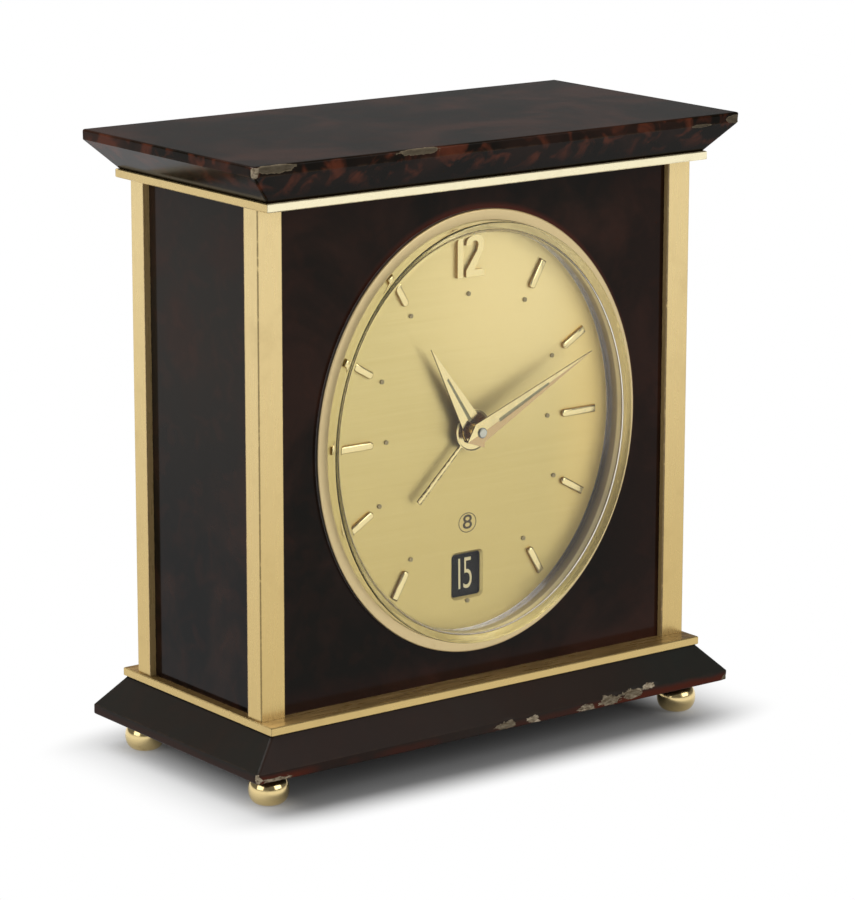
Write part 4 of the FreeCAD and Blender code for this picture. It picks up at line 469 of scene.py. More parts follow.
def lacquer(name, mottle, glow=0.0, chips=None, ground=None, cloud=0.045, warmth=1.0, gloss=0.09, rub=0.45):
    """Tortoiseshell lacquer: near black, soft brown clouds, red patches where it is thin.

    Chips are given as how far they fray and how deep into a chip's reach it is bare.
    """
    tints = colours()
    paint = Finish(name)
    paint.base = laid(ground or tints.lacquer_dark, paint)
    clouds = paint.noise(cloud, detail=4, roughness=0.55, distortion=0.6)
    paint.lay(paint.step(clouds, 0.42, 0.68, 0.0, laid(warmth, paint)), tints.lacquer_warm)
    patches = paint.step(paint.noise(0.24, roughness=0.45, distortion=0.6), 0.47, 0.68)
    paint.lay(paint.times(patches, laid(mottle, paint)), tints.lacquer_red)
    paint.lay(laid(glow, paint), tints.lacquer_glow)
    rubbed = paint.times(paint.edge(0.55, 0.25), paint.step(paint.noise(0.5), 0.40, 0.62))
    paint.lay(paint.times(rubbed, rub), tints.rubbed)
    rough = 0.12
    normal = paint.bump(paint.noise(0.10, detail=2), 0.05, 0.0006)
    if chips:
        chip, height = chipped(paint, *chips)
        rough = paint.step(chip, 0, 1, rough, 0.6)
        normal = paint.bump(height, 0.6, 0.00015, normal)
    return paint.surface(rough, bump=normal, gloss=gloss)


def chipped(paint, fray, start):
    """Chip a lacquer where the mesh says so. Give how bare it is there, and its height."""
    bare, pale = (paint.node("Attribute", attribute_name=name).outputs["Fac"] for name in ("bare", "pale"))
    frayed = paint.noise(1.0, detail=4, roughness=0.65, stretch=(0.6, 1, 1.3))
    ragged = paint.sum(bare, paint.step(frayed, 0.2, 0.8, -fray, fray))
    chip = paint.step(ragged, start, start + 0.05)
    speck = paint.noise(1.6, detail=5, roughness=0.65, stretch=(0.5, 1, 1.4))
    light = paint.ramp(speck, (0.38, (0.13, 0.095, 0.060)), (0.60, colours().filler))
    light = paint.blend(paint.step(pale, 0.1, 1.0), (0.17, 0.135, 0.085), light)
    dull = paint.ramp(speck, (0.30, (0.055, 0.042, 0.026)), (0.70, (0.118, 0.096, 0.065)))
    deep = paint.step(ragged, start + 0.05, start + 0.14)
    deep = paint.times(deep, paint.step(pale, 0.0, 1.0, 1.0, 0.0))
    paint.lay(chip, paint.blend(deep, light, dull))
    return chip, paint.sum(paint.times(chip, -1.0), paint.times(speck, chip, 0.7))


def satin_brass(name, along, painted_front_light=None, worn_shaded_top=False, top_shade=0.0, post=None):
    """Satin brass with a faint grain, pale stains, dark nicks along its edges and painted shade that
    deepens it towards the bottom; it may also be given painted light on its front faces.

    A post is given as its inner and outer x and its inner and outer y, in millimetres from the
    middle. Its front edges are dark, and its sides that face inwards carry a browner painted shade,
    where the panels shade them, and are duller.
    """
    tints = colours()
    metal = Finish(name, tints.brass)
    grain = metal.noise(1.0, detail=4, stretch=along)
    stain = metal.noise(0.12, detail=5, roughness=0.65)
    # Painted shade: a deeper copy of the brass, laid on more towards the bottom and by a given share at the
    # top.
    deep = scaled(tints.brass, 0.74, 0.68, 0.52)
    metal.lay(metal.step(metal.z, 10.0, 112.0, 0.85, top_shade), deep)
    # Painted light: faces turned to the front take a lighter, paler tint.
    if painted_front_light:
        metal.lay(metal.facing(FRONT, 0.5, 0.8), painted_front_light)
    metal.lay(metal.step(stain, 0.50, 0.78, 0, 0.14), tints.tarnish)
    metal.lay(metal.step(grain, 0.3, 0.7, 0.0, 0.02), tints.tarnish)
    rough = metal.step(metal.sum(grain, metal.times(stain, 0.6)), 0.4, 1.2, 0.25, 0.32)
    solid = 0.85
    aside = metal.vector("ABSOLUTE", metal.mm)
    across, depth, _ = metal.split(aside)
    if worn_shaded_top:
        # The plate's top is streaked brown, partly wear and partly painted shade; strips beside the posts
        # take a near-black painted shadow.
        upward = metal.facing(UP, 0.6, 0.9)
        streak = metal.noise(0.6, detail=6, roughness=0.72, stretch=(0.2, 1.6, 1))
        wear_and_shade = metal.ramp(streak, (0.34, (0.44, 0.28, 0.10)), (0.66, (0.20, 0.115, 0.035)))
        strip_x, strip_y = 45.0, 17.0
        beside = metal.step(across, strip_x, strip_x + 1)
        shaded = metal.times(beside, metal.step(depth, strip_y + 3, strip_y))
        wear_and_shade = metal.blend(metal.times(shaded, 0.75), wear_and_shade, (0.050, 0.028, 0.008))
        metal.lay(upward, wear_and_shade)
        solid = metal.step(upward, 0, 1, solid, 0.3)
    scratched = metal.noise(0.55, detail=5, roughness=0.72)
    nick = metal.times(metal.edge(0.26, 0.20), metal.step(scratched, 0.44, 0.56))
    if post:
        in_x, out_x, in_y, out_y = post
        # Painted shade: sides facing inwards, shaded by the panels, are laid browner and made duller.
        inner_side = metal.step(across, in_x + 0.05, in_x + 0.3, 1, 0)
        inward = metal.most(inner_side, metal.step(depth, in_y + 0.05, in_y + 0.3, 1, 0))
        metal.lay(metal.times(inward, 0.8), (0.46, 0.31, 0.13))
        solid = metal.step(inward, 0, 1, solid, 0.25)
        plan = metal.vector("MULTIPLY", aside, (1, 1, 0))
        for edge_x in (in_x, out_x):
            near = metal.step(metal.measure("DISTANCE", plan, (edge_x, out_y, 0)), 0.10, 0.30, 0.8, 0)
            nick = metal.most(nick, metal.times(near, metal.step(scratched, 0.30, 0.46)))
    metal.lay(nick, (0.075, 0.048, 0.017))
    height = metal.sum(metal.times(grain, 0.05), metal.times(nick, -1.5))
    return metal.surface(rough, solid, metal.bump(height, 0.10, 0.00012))


def polished_brass(name, tint, roughness, scuffed, side=None, facet_shade=None, solid=1.0):
    """Bright brass with faint handling marks, and painted shade on sides, backs and down-tilted faces."""
    metal = Finish(name, tint)
    smear = metal.noise(0.6, detail=5, roughness=0.65)
    metal.lay(metal.step(smear, 0.55, 0.85, 0, scuffed), colours().tarnish)
    # Painted shade: faces tilted down and to the right are laid browner.
    if facet_shade:
        metal.lay(metal.facing((0.6, 0, -0.8), 0.02, 0.09), facet_shade)
    # Painted shade: faces turned away from the front are laid darker.
    if side:
        metal.lay(metal.facing(FRONT, 0.45, 0.8, 1, 0), side)
    rough = metal.step(smear, 0.35, 0.8, roughness, roughness + 0.12)
    return metal.surface(rough, solid, metal.bump(metal.noise(1.5), 0.03, 0.0001))


def window_lining(name, dial_y, face_y):
    """Dull lining between dial and bezel face: painted shade by the dial, a painted highlight band in front.
    """
    metal = Finish(name)
    limits = {"Value": metal.y, "From Min": dial_y / MM, "From Max": face_y / MM}
    metal.base = metal.ramp(
        metal.node("MapRange", limits).outputs[0],
        (0.0, (0.05, 0.036, 0.030)), (0.22, (0.16, 0.13, 0.12)), (0.50, (0.30, 0.27, 0.27)),
        (0.60, (0.86, 0.84, 0.82)), (0.78, (0.80, 0.78, 0.76)), (0.88, (0.30, 0.26, 0.22)),
        (1.0, (0.14, 0.10, 0.05)),
    )
    return metal.surface(0.38, 0.9)


def ridged_gilt(name, node):
    """Gilt pointer: bright ridge, brown-speckled edges of wear and painted shade, bright rim round its hub.
    """
    metal = Finish(name, colours().gilt)
    centre = middle("dial")
    centre.y = 0
    ends = [Vector((vert.co.x, 0, vert.co.z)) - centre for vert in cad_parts[node].data.vertices]
    reach = max(end.length for end in ends)
    tips = [end for end in ends if end.length > 0.98 * reach]
    along = sum(tips, Vector()).normalized()
    hub = (span(node)[1].x - centre.x) / MM
    spot = metal.vector("SUBTRACT", metal.flattened(), tuple(centre / MM))
    aside = metal.reckon("ABSOLUTE", metal.measure("DOT_PRODUCT", spot, (along.z, 0, -along.x)))
    out = metal.measure("DISTANCE", spot)
    # Wear and painted shade: the edges are speckled with tan and dark brown.
    edge = metal.times(metal.step(aside, 0.12, 0.26), metal.step(out, hub, hub + 0.3))
    speck = metal.step(metal.noise(1.1, detail=5, roughness=0.75), 0.48, 0.56)
    wear_and_shade = metal.blend(speck, (0.62, 0.50, 0.23), (0.10, 0.065, 0.02))
    metal.lay(edge, wear_and_shade)
    # Painted shade: its sides and back, turned away from the front, are laid darker.
    metal.lay(metal.facing(FRONT, 0.45, 0.8, 1, 0), colours().hand_side)
    rim = metal.step(out, hub - 0.42, hub, 1.0, 0.0)
    return metal.surface(0.2, 1.0, metal.bump(rim, 1.0, 0.0003))


def brushed_dial(name):
    """Champagne gilt, finely brushed level; painted shade low down, painted light upper right and right."""
    tint = colours().dial
    metal = Finish(name, tint)
    fine = metal.noise(1.0, detail=3, stretch=(0.05, 1, 9.0))
    broad = metal.noise(1.0, detail=2, stretch=(0.02, 1, 1.4))
    deep = scaled(tint, 0.80, 0.74, 0.58)
    metal.lay(metal.step(metal.sum(fine, broad), 0.7, 1.35, 0.0, 0.22), deep)
    # Painted shade: darker towards the bottom.
    metal.lay(metal.step(metal.z, 20.0, 104.0, 0.62, 0.0), deep)
    # Painted light: lighter round a spot at the upper right.
    painted_light_spot = Vector((0.013, 0, 0.090))
    metal.lay(metal.step(metal.off_axis(painted_light_spot), 4.0, 38.0, 0.9, 0.0), scaled(tint, 1.22, 1.20, 1.30))
    # Painted light: a lighter, warmer right side.
    metal.lay(metal.step(metal.x, 17.0, 33.0, 0.0, 0.6), scaled(tint, 1.24, 1.10, 0.92))
    return metal.surface(metal.step(fine, 0.3, 0.7, 0.36, 0.46), 0.88, metal.bump(fine, 0.10, 0.00006))


def turned_brass(name, tint):
    """Brass with fine circular graining about the middle of the dial."""
    metal = Finish(name, tint)
    radius = metal.node("CombineXYZ", {"X": metal.off_axis(middle("dial"))}).outputs[0]
    rings = metal.node("TexNoise", {"Vector": radius, "Scale": 6.0}).outputs[0]
    stain = metal.noise(0.1, detail=4, roughness=0.6)
    metal.lay(metal.step(stain, 0.45, 0.8, 0, 0.35), colours().tarnish)
    metal.lay(metal.step(rings, 0.35, 0.7, 0, 0.12), colours().tarnish)
    return metal.surface(metal.step(rings, 0.3, 0.7, 0.22, 0.34), 1.0, metal.bump(rings, 0.12, 0.00008))


def plain_steel(name, roughness=0.25):
    metal = Finish(name, colours().steel)
    grain = metal.noise(2.0, detail=4, stretch=(1, 0.1, 1))
    metal.lay(metal.step(grain, 0.4, 0.8, 0, 0.3), (0.30, 0.29, 0.28))
    return metal.surface(metal.step(grain, 0.3, 0.7, roughness, roughness + 0.15), 1.0)


def ringed_steel(name, node, tint):
    """Pale steel end with a dark ring just inside its rim."""
    metal = Finish(name, tint)
    radius = half(node).x / MM
    metal.lay(metal.step(metal.off_axis(middle(node)), 0.72 * radius, 0.90 * radius), scaled(tint, 0.3))
    return metal.surface(0.3, 1.0)


def flat_paint(name, tint, roughness=0.6, grain=0.25, gloss=0.5):
    """Matt paint or ink with a little unevenness."""
    paint = Finish(name, tint)
    uneven = paint.noise(2.5, detail=4, roughness=0.6)
    paint.lay(paint.step(uneven, 0.35, 0.75, 0, grain), scaled(tint, 0.6))
    return paint.surface(roughness, bump=paint.bump(uneven, 0.08, 0.0001), gloss=gloss)


def clear_crystal(name):
    """Clear moulded cover with faint wear. Lamps' rays pass straight through."""
    glass = Finish(name)
    wear = glass.noise(0.25, detail=5, roughness=0.7)
    inputs = {
        "Base Color": (0.985, 0.985, 0.975), "Roughness": glass.step(wear, 0.6, 0.9, 0.0, 0.03),
        "IOR": 1.49, "Transmission Weight": 1.0, "Specular Tint": (0.3, 0.3, 0.3),
    }
    through = glass.node("BsdfTransparent", {"Color": (0.95, 0.95, 0.94)})
    lamp = glass.node("LightPath").outputs["Is Shadow Ray"]
    glass.show_mix(lamp, glass.node("BsdfPrincipled", inputs), through)
    return glass.material


# ---------- case


class Step:
    """What the clock's operators share: each builds its pieces and is done."""

    def execute(self, context):
        self.build()
        return {"FINISHED"}


CAP_CHIPS = (
    # middle and reach in millimetres, depth in millimetres, and how pale the chip is
    ((-50.6, -27.5, 116.2), (6.2, 1.1, 1.1), 0.2, 0.15),
    ((-54.8, -27.3, 115.7), (1.0, 1.2, 1.5), 0.2, 0.7),
    ((-19.6, -27.5, 116.4), (6.4, 0.9, 1.0), 0.2, 0.2),
    ((53.9, -27.5, 115.6), (2.6, 2.0, 1.1), 0.25, 0.1),
    ((45.8, -27.5, 114.9), (3.2, 0.6, 0.45), 0.12, 0.1),
)
PLINTH_CHIPS = (
    ((-51.2, -27.2, 6.6), (5.2, 1.2, 0.75), 0.2, 0.75),
    ((-54.8, -27.0, 7.1), (1.0, 1.2, 1.6), 0.2, 0.8),
    ((-53.4, -25.8, 10.5), (0.4, 0.5, 0.45), 0.1, 1.0),
    ((0.6, -27.2, 7.0), (3.2, 1.3, 1.5), 0.3, 0.55),
    ((7.3, -27.2, 7.1), (2.3, 1.2, 1.2), 0.25, 0.9),
    ((20.2, -27.2, 6.9), (3.0, 1.2, 1.2), 0.3, 0.9),
    ((25.8, -27.2, 7.4), (4.2, 1.4, 1.6), 0.3, 0.6),
    ((31.2, -27.2, 7.8), (4.0, 1.3, 1.4), 0.3, 0.6),
    ((35.3, -27.2, 8.6), (2.8, 1.2, 0.8), 0.25, 0.9),
    ((54.5, -27.0, 6.9), (1.1, 1.1, 0.9), 0.25, 0.4),
)


def sloped_slab(node, seat_plate, seat_up, round_edge):
    """A slab with an upright lip whose sides slope to the brass plate beside it."""
    low, high = span(node)
    outer, seat = half(node), half(seat_plate)
    lip = sizes().lip
    facing = 1 if seat_up else -1
    lip_face = low.z if seat_up else high.z
    bm = bmesh.new()
    add_box(bm, Vector((0, 0, lip_face + facing * lip / 2)), (2 * outer.x, 2 * outer.y, lip))
    side = [face for face in bm.faces if face.normal.z * facing > 0.9]
    verts = new_verts(bmesh.ops.extrude_face_region(bm, geom=side))
    narrow = ((seat.x - sizes().seat_inset_x) / outer.x, (seat.y - sizes().seat_inset_y) / outer.y, 1)
    bmesh.ops.scale(bm, vec=narrow, verts=verts)
    bmesh.ops.translate(bm, vec=(0, 0, facing * (high.z - low.z - lip)), verts=verts)
    corners = [edge for edge in bm.edges if abs(edge.verts[0].co.z - edge.verts[1].co.z) > 10 * NEAR]
    bevel(bm, corners, sizes().corner_round, 4)
    for height, rounding, segments in ((lip_face + facing * lip, round_edge, 6),
                                       (lip_face, sizes().lacquer_edge, 3)):
        bevel(bm, edges_where(bm, lambda place: abs(place.z - height) < 10 * NEAR), rounding, segments)
    return bm


def chip_away(bm, chips):
    """Cut the mesh finely where it is chipped, and press it in there."""
    fine = 0.28
    beyond = 1.15
    for axis in range(3):
        places = set()
        for centre, reach, _, _ in chips:
            steps = math.ceil(2 * beyond * reach[axis] / fine)
            first = centre[axis] - beyond * reach[axis]
            places.update(round(first + n * fine, 2) for n in range(steps + 1))
        kept = []
        for place in sorted(places):
            if not kept or place - kept[-1] > 0.6 * fine:
                kept.append(place)
        slice_along(bm, axis, [place * MM for place in kept])
    bare = bm.verts.layers.float.new("bare")
    pale = bm.verts.layers.float.new("pale")
    bm.normal_update()
    moves = []
    for vert in bm.verts:
        here = vert.co / MM
        for centre, reach, depth, paleness in chips:
            away = Vector([(here[n] - centre[n]) / reach[n] for n in range(3)])
            share = 1.0 - away.length
            if share > 0:
                vert[pale] = max(vert[pale], paleness) if vert[bare] else paleness
                vert[bare] = max(vert[bare], share)
                uneven = 0.65 + 0.5 * noise.noise(here * 1.7)
                moves.append((vert, -vert.normal * depth * share * uneven * MM))
    for vert, move in moves:
        vert.co += move


class CLOCK_OT_cap_and_plinth(Step, bpy.types.Operator):
    """Build the chipped tortoiseshell cap and plinth"""

    bl_idname = "clock.cap_and_plinth"
    bl_label = "Cap and plinth"

    def build(self):
        cap_foot, cap_top = (corner.z / MM for corner in span("cap"))
        rim_top = span("plinth")[0].z / MM + 1.5
        black = colours().plinth_black

        def on_cap(paint):
            side = paint.step(paint.z, cap_top - 0.25, cap_top - 0.05, 1.0, 0.10)
            slope = paint.step(paint.z, cap_foot + 0.6, cap_foot + 3.6, 0.05, 1.0)
            return paint.times(side, slope, paint.facing(FRONT, 0.2, 0.5, 0.6, 0.95))

        def cap_clouds(paint):
            return paint.step(paint.z, cap_foot + 0.6, cap_foot + 5.4, 0.15, 1.0)

        def on_rim(paint):
            uneven = paint.times(paint.noise(0.09), 1.6)
            rim = paint.step(paint.sum(paint.z, uneven), rim_top, rim_top + 1.4, 1, 0)
            front = paint.facing(FRONT, 0.2, 0.6, 0.2, 0.95)
            thin = paint.step(paint.noise(0.07, detail=2), 0.36, 0.56, 0.12, 0.5)
            ends = paint.most(paint.step(paint.x, -47.0, -39.0, 1, 0), paint.step(paint.x, 6.0, 26.0))
            red = paint.times(rim, front, paint.most(thin, ends))
            return paint.most(red, paint.times(paint.step(paint.x, 15.0, 45.0, 0.135, 0), front))

        def plinth_ground(paint):
            right = paint.times(paint.facing(FRONT, 0.2, 0.6), paint.step(paint.x, -35.0, 0.0))
            return paint.blend(right, black, scaled(black, 1.5))

        cap_paint = lacquer("cap_lacquer", on_cap, chips=(0.16, 0.22), warmth=cap_clouds, gloss=0.05, rub=0.3)
        plinth_paint = lacquer("plinth_lacquer", 0.02, glow=on_rim, chips=(0.35, 0.36),
                               ground=plinth_ground, warmth=0.12, gloss=0.035, rub=0.12)
        slabs = (
            ("cap", "top_plate", False, sizes().cap_round, CAP_CHIPS, cap_paint),
            ("plinth", "bottom_plate", True, sizes().plinth_round, PLINTH_CHIPS, plinth_paint),
        )
        for node, seat_plate, seat_up, round_edge, chips, paint in slabs:
            bm = sloped_slab(node, seat_plate, seat_up, round_edge)
            chip_away(bm, chips)
            piece(f"lacquered_{node}", bm, paint, "case", node, slot="lacquered_wood", sharp=24, flat=True)


class CLOCK_OT_panels(Step, bpy.types.Operator):
    """Lacquer the four panels"""

    bl_idname = "clock.panels"
    bl_label = "Panels"

    def build(self):
        centre, oval = middle("bezel"), half("bezel")
        foot = span("front_panel")[0].z / MM

        def round_window(paint):
            out = paint.vector("SUBTRACT", paint.mm, tuple(centre / MM))
            share = paint.vector("MULTIPLY", out, (MM / oval.x, 0, MM / oval.z))
            ring = paint.step(paint.measure("DISTANCE", share), 1.0, 1.035, 1, 0)
            lit = paint.times(ring, paint.step(paint.sum(paint.x, paint.z), 45, 110, 0.05, 0.9))
            right = paint.step(paint.x, 22, 44, 0, 0.10)
            return paint.most(paint.most(lit, right), paint.step(paint.z, foot, foot + 6, 0.16, 0))

        def rising(paint):
            upper = paint.step(paint.z, 25.0, 85.0)
            return paint.blend(upper, (0.0012, 0.0010, 0.0009), (0.0150, 0.0116, 0.0086))

        finish(lacquer("front_lacquer", 0.05, glow=round_window, cloud=0.036), "front_panel")
        side = lacquer("side_lacquer", 0.07, ground=rising, cloud=0.05, warmth=0.6)
        finish(side, "left_panel", "right_panel", "rear_panel")


class CLOCK_OT_brass_frame(Step, bpy.types.Operator):
    """Finish the posts, plates and bolts in satin brass and steel"""

    bl_idname = "clock.brass_frame"
    bl_label = "Brass frame"

    def build(self):
        posts = [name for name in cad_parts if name.startswith("post_")]
        low, high = (corner / MM for corner in span("post_front_right"))
        plan = (low.x, high.x, -high.y, -low.y)
        finish(satin_brass("post_brass", (2.2, 2.2, 0.12), post=plan), *posts)
        along = (0.12, 1.2, 1.2)
        # Painted light on the top plate's front faces; painted shade over the rest of it.
        pale = satin_brass("top_plate_brass", along, painted_front_light=(0.97, 0.88, 0.60), top_shade=0.45)
        finish(pale, "top_plate")
        finish(satin_brass("bottom_plate_brass", along, worn_shaded_top=True), "bottom_plate")
        finish(plain_steel("bolt_steel"), "tie_bolts")


class CLOCK_OT_feet(Step, bpy.types.Operator):
    """Turn the four polished brass feet"""

    bl_idname = "clock.feet"
    bl_label = "Feet"

    def build(self):
        top = span("plinth")[0].z
        neck_low = top - sizes().neck_height
        radius, flat, neck = sizes().foot_radius, sizes().foot_flat, sizes().foot_neck
        steps, fullness = 24, 0.86
        profile = [(0, 0), (flat, 0)]
        for step in range(1, steps):
            turn = math.pi * (step / steps - 1 / 2)
            across = math.cos(turn) ** fullness
            profile.append((flat + (radius - flat) * across, neck_low / 2 * (1 + math.sin(turn))))
        groove, collar, ledge = neck - 0.0002, neck + 0.0003, neck_low + 0.0003
        profile += [(groove, neck_low), (groove, ledge), (collar, ledge + 0.0001), (collar, top), (0, top)]
        corner = span("feet")[1]
        bm = bmesh.new()
        for side in (-1, 1):
            for front in (-1, 1):
                turned(bm, profile, Vector((side * (corner.x - radius), front * (corner.y - radius), 0)), UP)
        metal = polished_brass("foot_brass", colours().brass, 0.12, 0.35)
        piece("turned_feet", bm, metal, "case", "feet", slot="case_brass")


# ---------- window and dial


class CLOCK_OT_bezel(Step, bpy.types.Operator):
    """Build the gilt oval ring round the window, dull inside"""

    bl_idname = "clock.bezel"
    bl_label = "Bezel"

    def build(self):
        low, high = span("bezel")
        ring, sleeve, edge = sizes().bezel_ring, sizes().bezel_sleeve, sizes().bezel_edge
        face = low.y
        panel = span("front_panel")[0].y
        profile = [(0.0, panel)]
        profile += [(edge * inward, face + edge * back) for inward, back in quarter(6)]
        profile += [(ring - edge / 4, face), (ring, face + edge / 4)]
        profile += [(ring, high.y), (sleeve, high.y), (sleeve, panel), profile[0]]
        bm = bmesh.new()
        oval_tube(bm, middle("bezel"), half("bezel"), profile, sizes().oval_steps)
        for part in bm.faces:
            part.material_index = int(part.calc_center_median().y > face + edge)
        metal = polished_brass("bezel_gilt", colours().bezel, 0.38, 0.18, solid=0.6)
        made = piece("oval_bezel", bm, metal, "case", "bezel", slot="case_brass")
        made.data.materials.append(window_lining("bezel_inside", span("dial")[0].y, face))


class CLOCK_OT_crystal(Step, bpy.types.Operator):
    """Build the clear oval cover with its flat front and soft edge"""

    bl_idname = "clock.crystal"
    bl_label = "Crystal"

    def build(self):
        low, high = span("crystal")
        wall, soft = sizes().crystal_wall, sizes().crystal_round
        back = high.y - sizes().crystal_gap
        inner_face = low.y + sizes().crystal_front
        margin = 0.0003
        hollow = 2 * margin
        shape = [(soft + margin, low.y)]
        shape += [(soft * inward, low.y + soft * deep) for inward, deep in reversed(quarter(8))]
        shape += [(0.0, back), (wall, back)]
        shape += [(wall + hollow * inward, inner_face + hollow * deep) for inward, deep in quarter(6)]
        shape.append((wall + hollow + margin, inner_face))
        bm = bmesh.new()
        for ring in oval_tube(bm, middle("bezel"), half("crystal"), shape, sizes().oval_steps):
            bmesh.ops.contextual_create(bm, geom=ring)
        piece("oval_crystal", bm, clear_crystal("crystal_clear"), "case", "crystal", slot="clear_crystal")


def add_text(bm, words, size, place, weight, width, spacing=1.0):
    """Flat letters carried into a bmesh by a matrix."""
    curve = bpy.data.curves.new("letters", "FONT")
    curve.body = words
    curve.size = size
    curve.align_x = "CENTER"
    curve.align_y = "CENTER"
    curve.offset = weight
    curve.space_character = spacing
    letters = link(bpy.data.objects.new("letters", curve))
    bpy.context.view_layer.update()
    mesh = bpy.data.meshes.new_from_object(letters.evaluated_get(bpy.context.evaluated_depsgraph_get()))
    reach = [vert.co.x for vert in mesh.vertices]
    centred = Matrix.Translation((-(min(reach) + max(reach)) / 2, 0, 0))
    upright = Matrix.Rotation(math.pi / 2, 4, "X")
    pour(mesh, bm, place @ upright @ Matrix.Diagonal((width, 1, 1, 1)) @ centred)
    bpy.data.objects.remove(letters)
    bpy.data.curves.remove(curve)


class CLOCK_OT_dial(Step, bpy.types.Operator):
    """Brush the dial and print its ringed mark"""

    bl_idname = "clock.dial"
    bl_label = "Dial"

    def build(self):
        finish(brushed_dial("champagne_dial"), "dial")
        place = Vector((0, span("dial")[0].y - PRINT, middle("dial").z - sizes().mark_drop))
        ring, line = Vector((0.00207, 0, 0.00190)), 0.00016
        digit, bolder, wide = 0.0038, 0.00003, 1.25
        bm = bmesh.new()
        oval_tube(bm, place, ring, [(0.0, place.y), (line, place.y)], 64)
        add_text(bm, "8", digit, Matrix.Translation(place), bolder, wide)
        ink = flat_paint("dial_ink", colours().ink, roughness=0.5)
        piece("printed_mark", bm, ink, "case", slot="dial_brass", closed=False)


class CLOCK_OT_markers(Step, bpy.types.Operator):
    """Build the gilt hour bars and finish the numeral and dots"""

    bl_idname = "clock.markers"
    bl_label = "Markers"

    def build(self):
        centre = middle("dial")
        centre.y = span("dial")[0].y
        width, rise = sizes().baton_width, sizes().baton_rise
        rounding, chamfer = 0.45 * width, 0.00034
        bm = bmesh.new()
        for hour in (1, 2, 3, 4, 5, 7, 8, 9, 10, 11):
            turn = math.radians(30 * hour)
            across, up = math.sin(turn) / sizes().baton_reach_x, math.cos(turn) / sizes().baton_reach_z
            outer = 1 / math.hypot(across, up)
            long = sizes().long_baton if hour in (3, 9) else sizes().baton_length
            bar = bmesh.new()
            add_box(bar, Vector((0, -rise / 2, outer - long / 2)), (width, rise, long))
            inner = edges_where(bar, lambda place: place.z < outer - 0.9 * long)
            inner = [edge for edge in inner if abs(edge.verts[0].co.x - edge.verts[1].co.x) < NEAR]
            bevel(bar, inner, rounding, 5)
            bevel(bar, edges_where(bar, lambda place: place.y < -0.9 * rise), chamfer, 3)
            pour_part(bar, bm, Matrix.Translation(centre) @ Matrix.Rotation(turn, 4, "Y"))
        # Painted shade: the bars' sides, turned away from the front, are laid browner.
        gilt = polished_brass("marker_gilt", colours().gilt, 0.16, 0.10, side=(0.40, 0.27, 0.10))
        piece("gilt_batons", bm, gilt, "case", "hour_batons", slot="polished_gilt", sharp=50)
        finish(gilt, "twelve_numeral")
        finish(flat_paint("dot_lume", colours().lume, grain=0.5), "luminous_dots")


class CLOCK_OT_hands(Step, bpy.types.Operator):
    """Polish the hands and fill them with luminous paint"""

    bl_idname = "clock.hands"
    bl_label = "Hands"

    def build(self):
        tints = colours()
        # Painted shade on the hands' sides and backs and on their down-tilted faces.
        gilt = polished_brass("hand_gilt", tints.gilt, 0.14, 0.12, tints.hand_side, facet_shade=(0.60, 0.43, 0.22))
        finish(gilt, "minute_hand", "hour_hand")
        finish(ridged_gilt("alarm_gilt", "alarm_hand"), "alarm_hand")
        finish(flat_paint("hand_lume", tints.hand_lume, grain=0.5), "minute_hand_lume", "hour_hand_lume")
        finish(ringed_steel("arbor_steel", "centre_arbor", tints.arbor_end), "centre_arbor")


class CLOCK_OT_date_ring(Step, bpy.types.Operator):
    """Letter the black date ring with the days of a month"""

    bl_idname = "clock.date_ring"
    bl_label = "Date ring"

    def build(self):
        days, shown = 31, 15
        centre = middle("date_disc")
        centre.y = span("date_disc")[0].y - PRINT
        digit_share = 0.67
        size = sizes().number_height / digit_share
        one_wide, two_wide, thinner = 0.66, 0.60, -0.00006
        bm = bmesh.new()
        for day in range(1, days + 1):
            turn = math.radians(180 - (day - shown) * 360 / days) - sizes().number_lead
            spot = Vector((math.sin(turn), 0, math.cos(turn))) * sizes().number_radius
            place = Matrix.Translation(centre + spot) @ Matrix.Rotation(turn - math.pi, 4, "Y")
            add_text(bm, str(day), size, place, thinner, two_wide if day > 9 else one_wide, spacing=0.74)
        cream = flat_paint("number_cream", colours().cream, roughness=0.55)
        piece("date_numbers", bm, cream, "date_disc_group", slot="black_date_ring", closed=False)
        black = flat_paint("date_black", colours().date_black, roughness=0.7, grain=0.4, gloss=0.15)
        finish(black, "date_disc")


# ---------- back and movement


def screw_heads():
    """Where each screw's head starts: round the calendar plate, the rear plate and the back cover."""
    centre = middle("dial")
    calendar, inset = half("calendar_plate"), 0.00153
    rear_circle, cover_circle = 0.026, 0.0332
    heads = []
    for node, turns, reach_x, reach_z in (
        ("calendar_plate", (0, 90, 180, 270), calendar.x - inset, calendar.z - inset),
        ("rear_plate", (60, 180, 300), rear_circle, rear_circle),
        ("back_cover", (45, 135, 225, 315), cover_circle, cover_circle),
    ):
        back = span(node)[1].y
        for turn in map(math.radians, turns):
            heads.append((centre.x + reach_x * math.sin(turn), back, centre.z + reach_z * math.cos(turn)))
    return heads


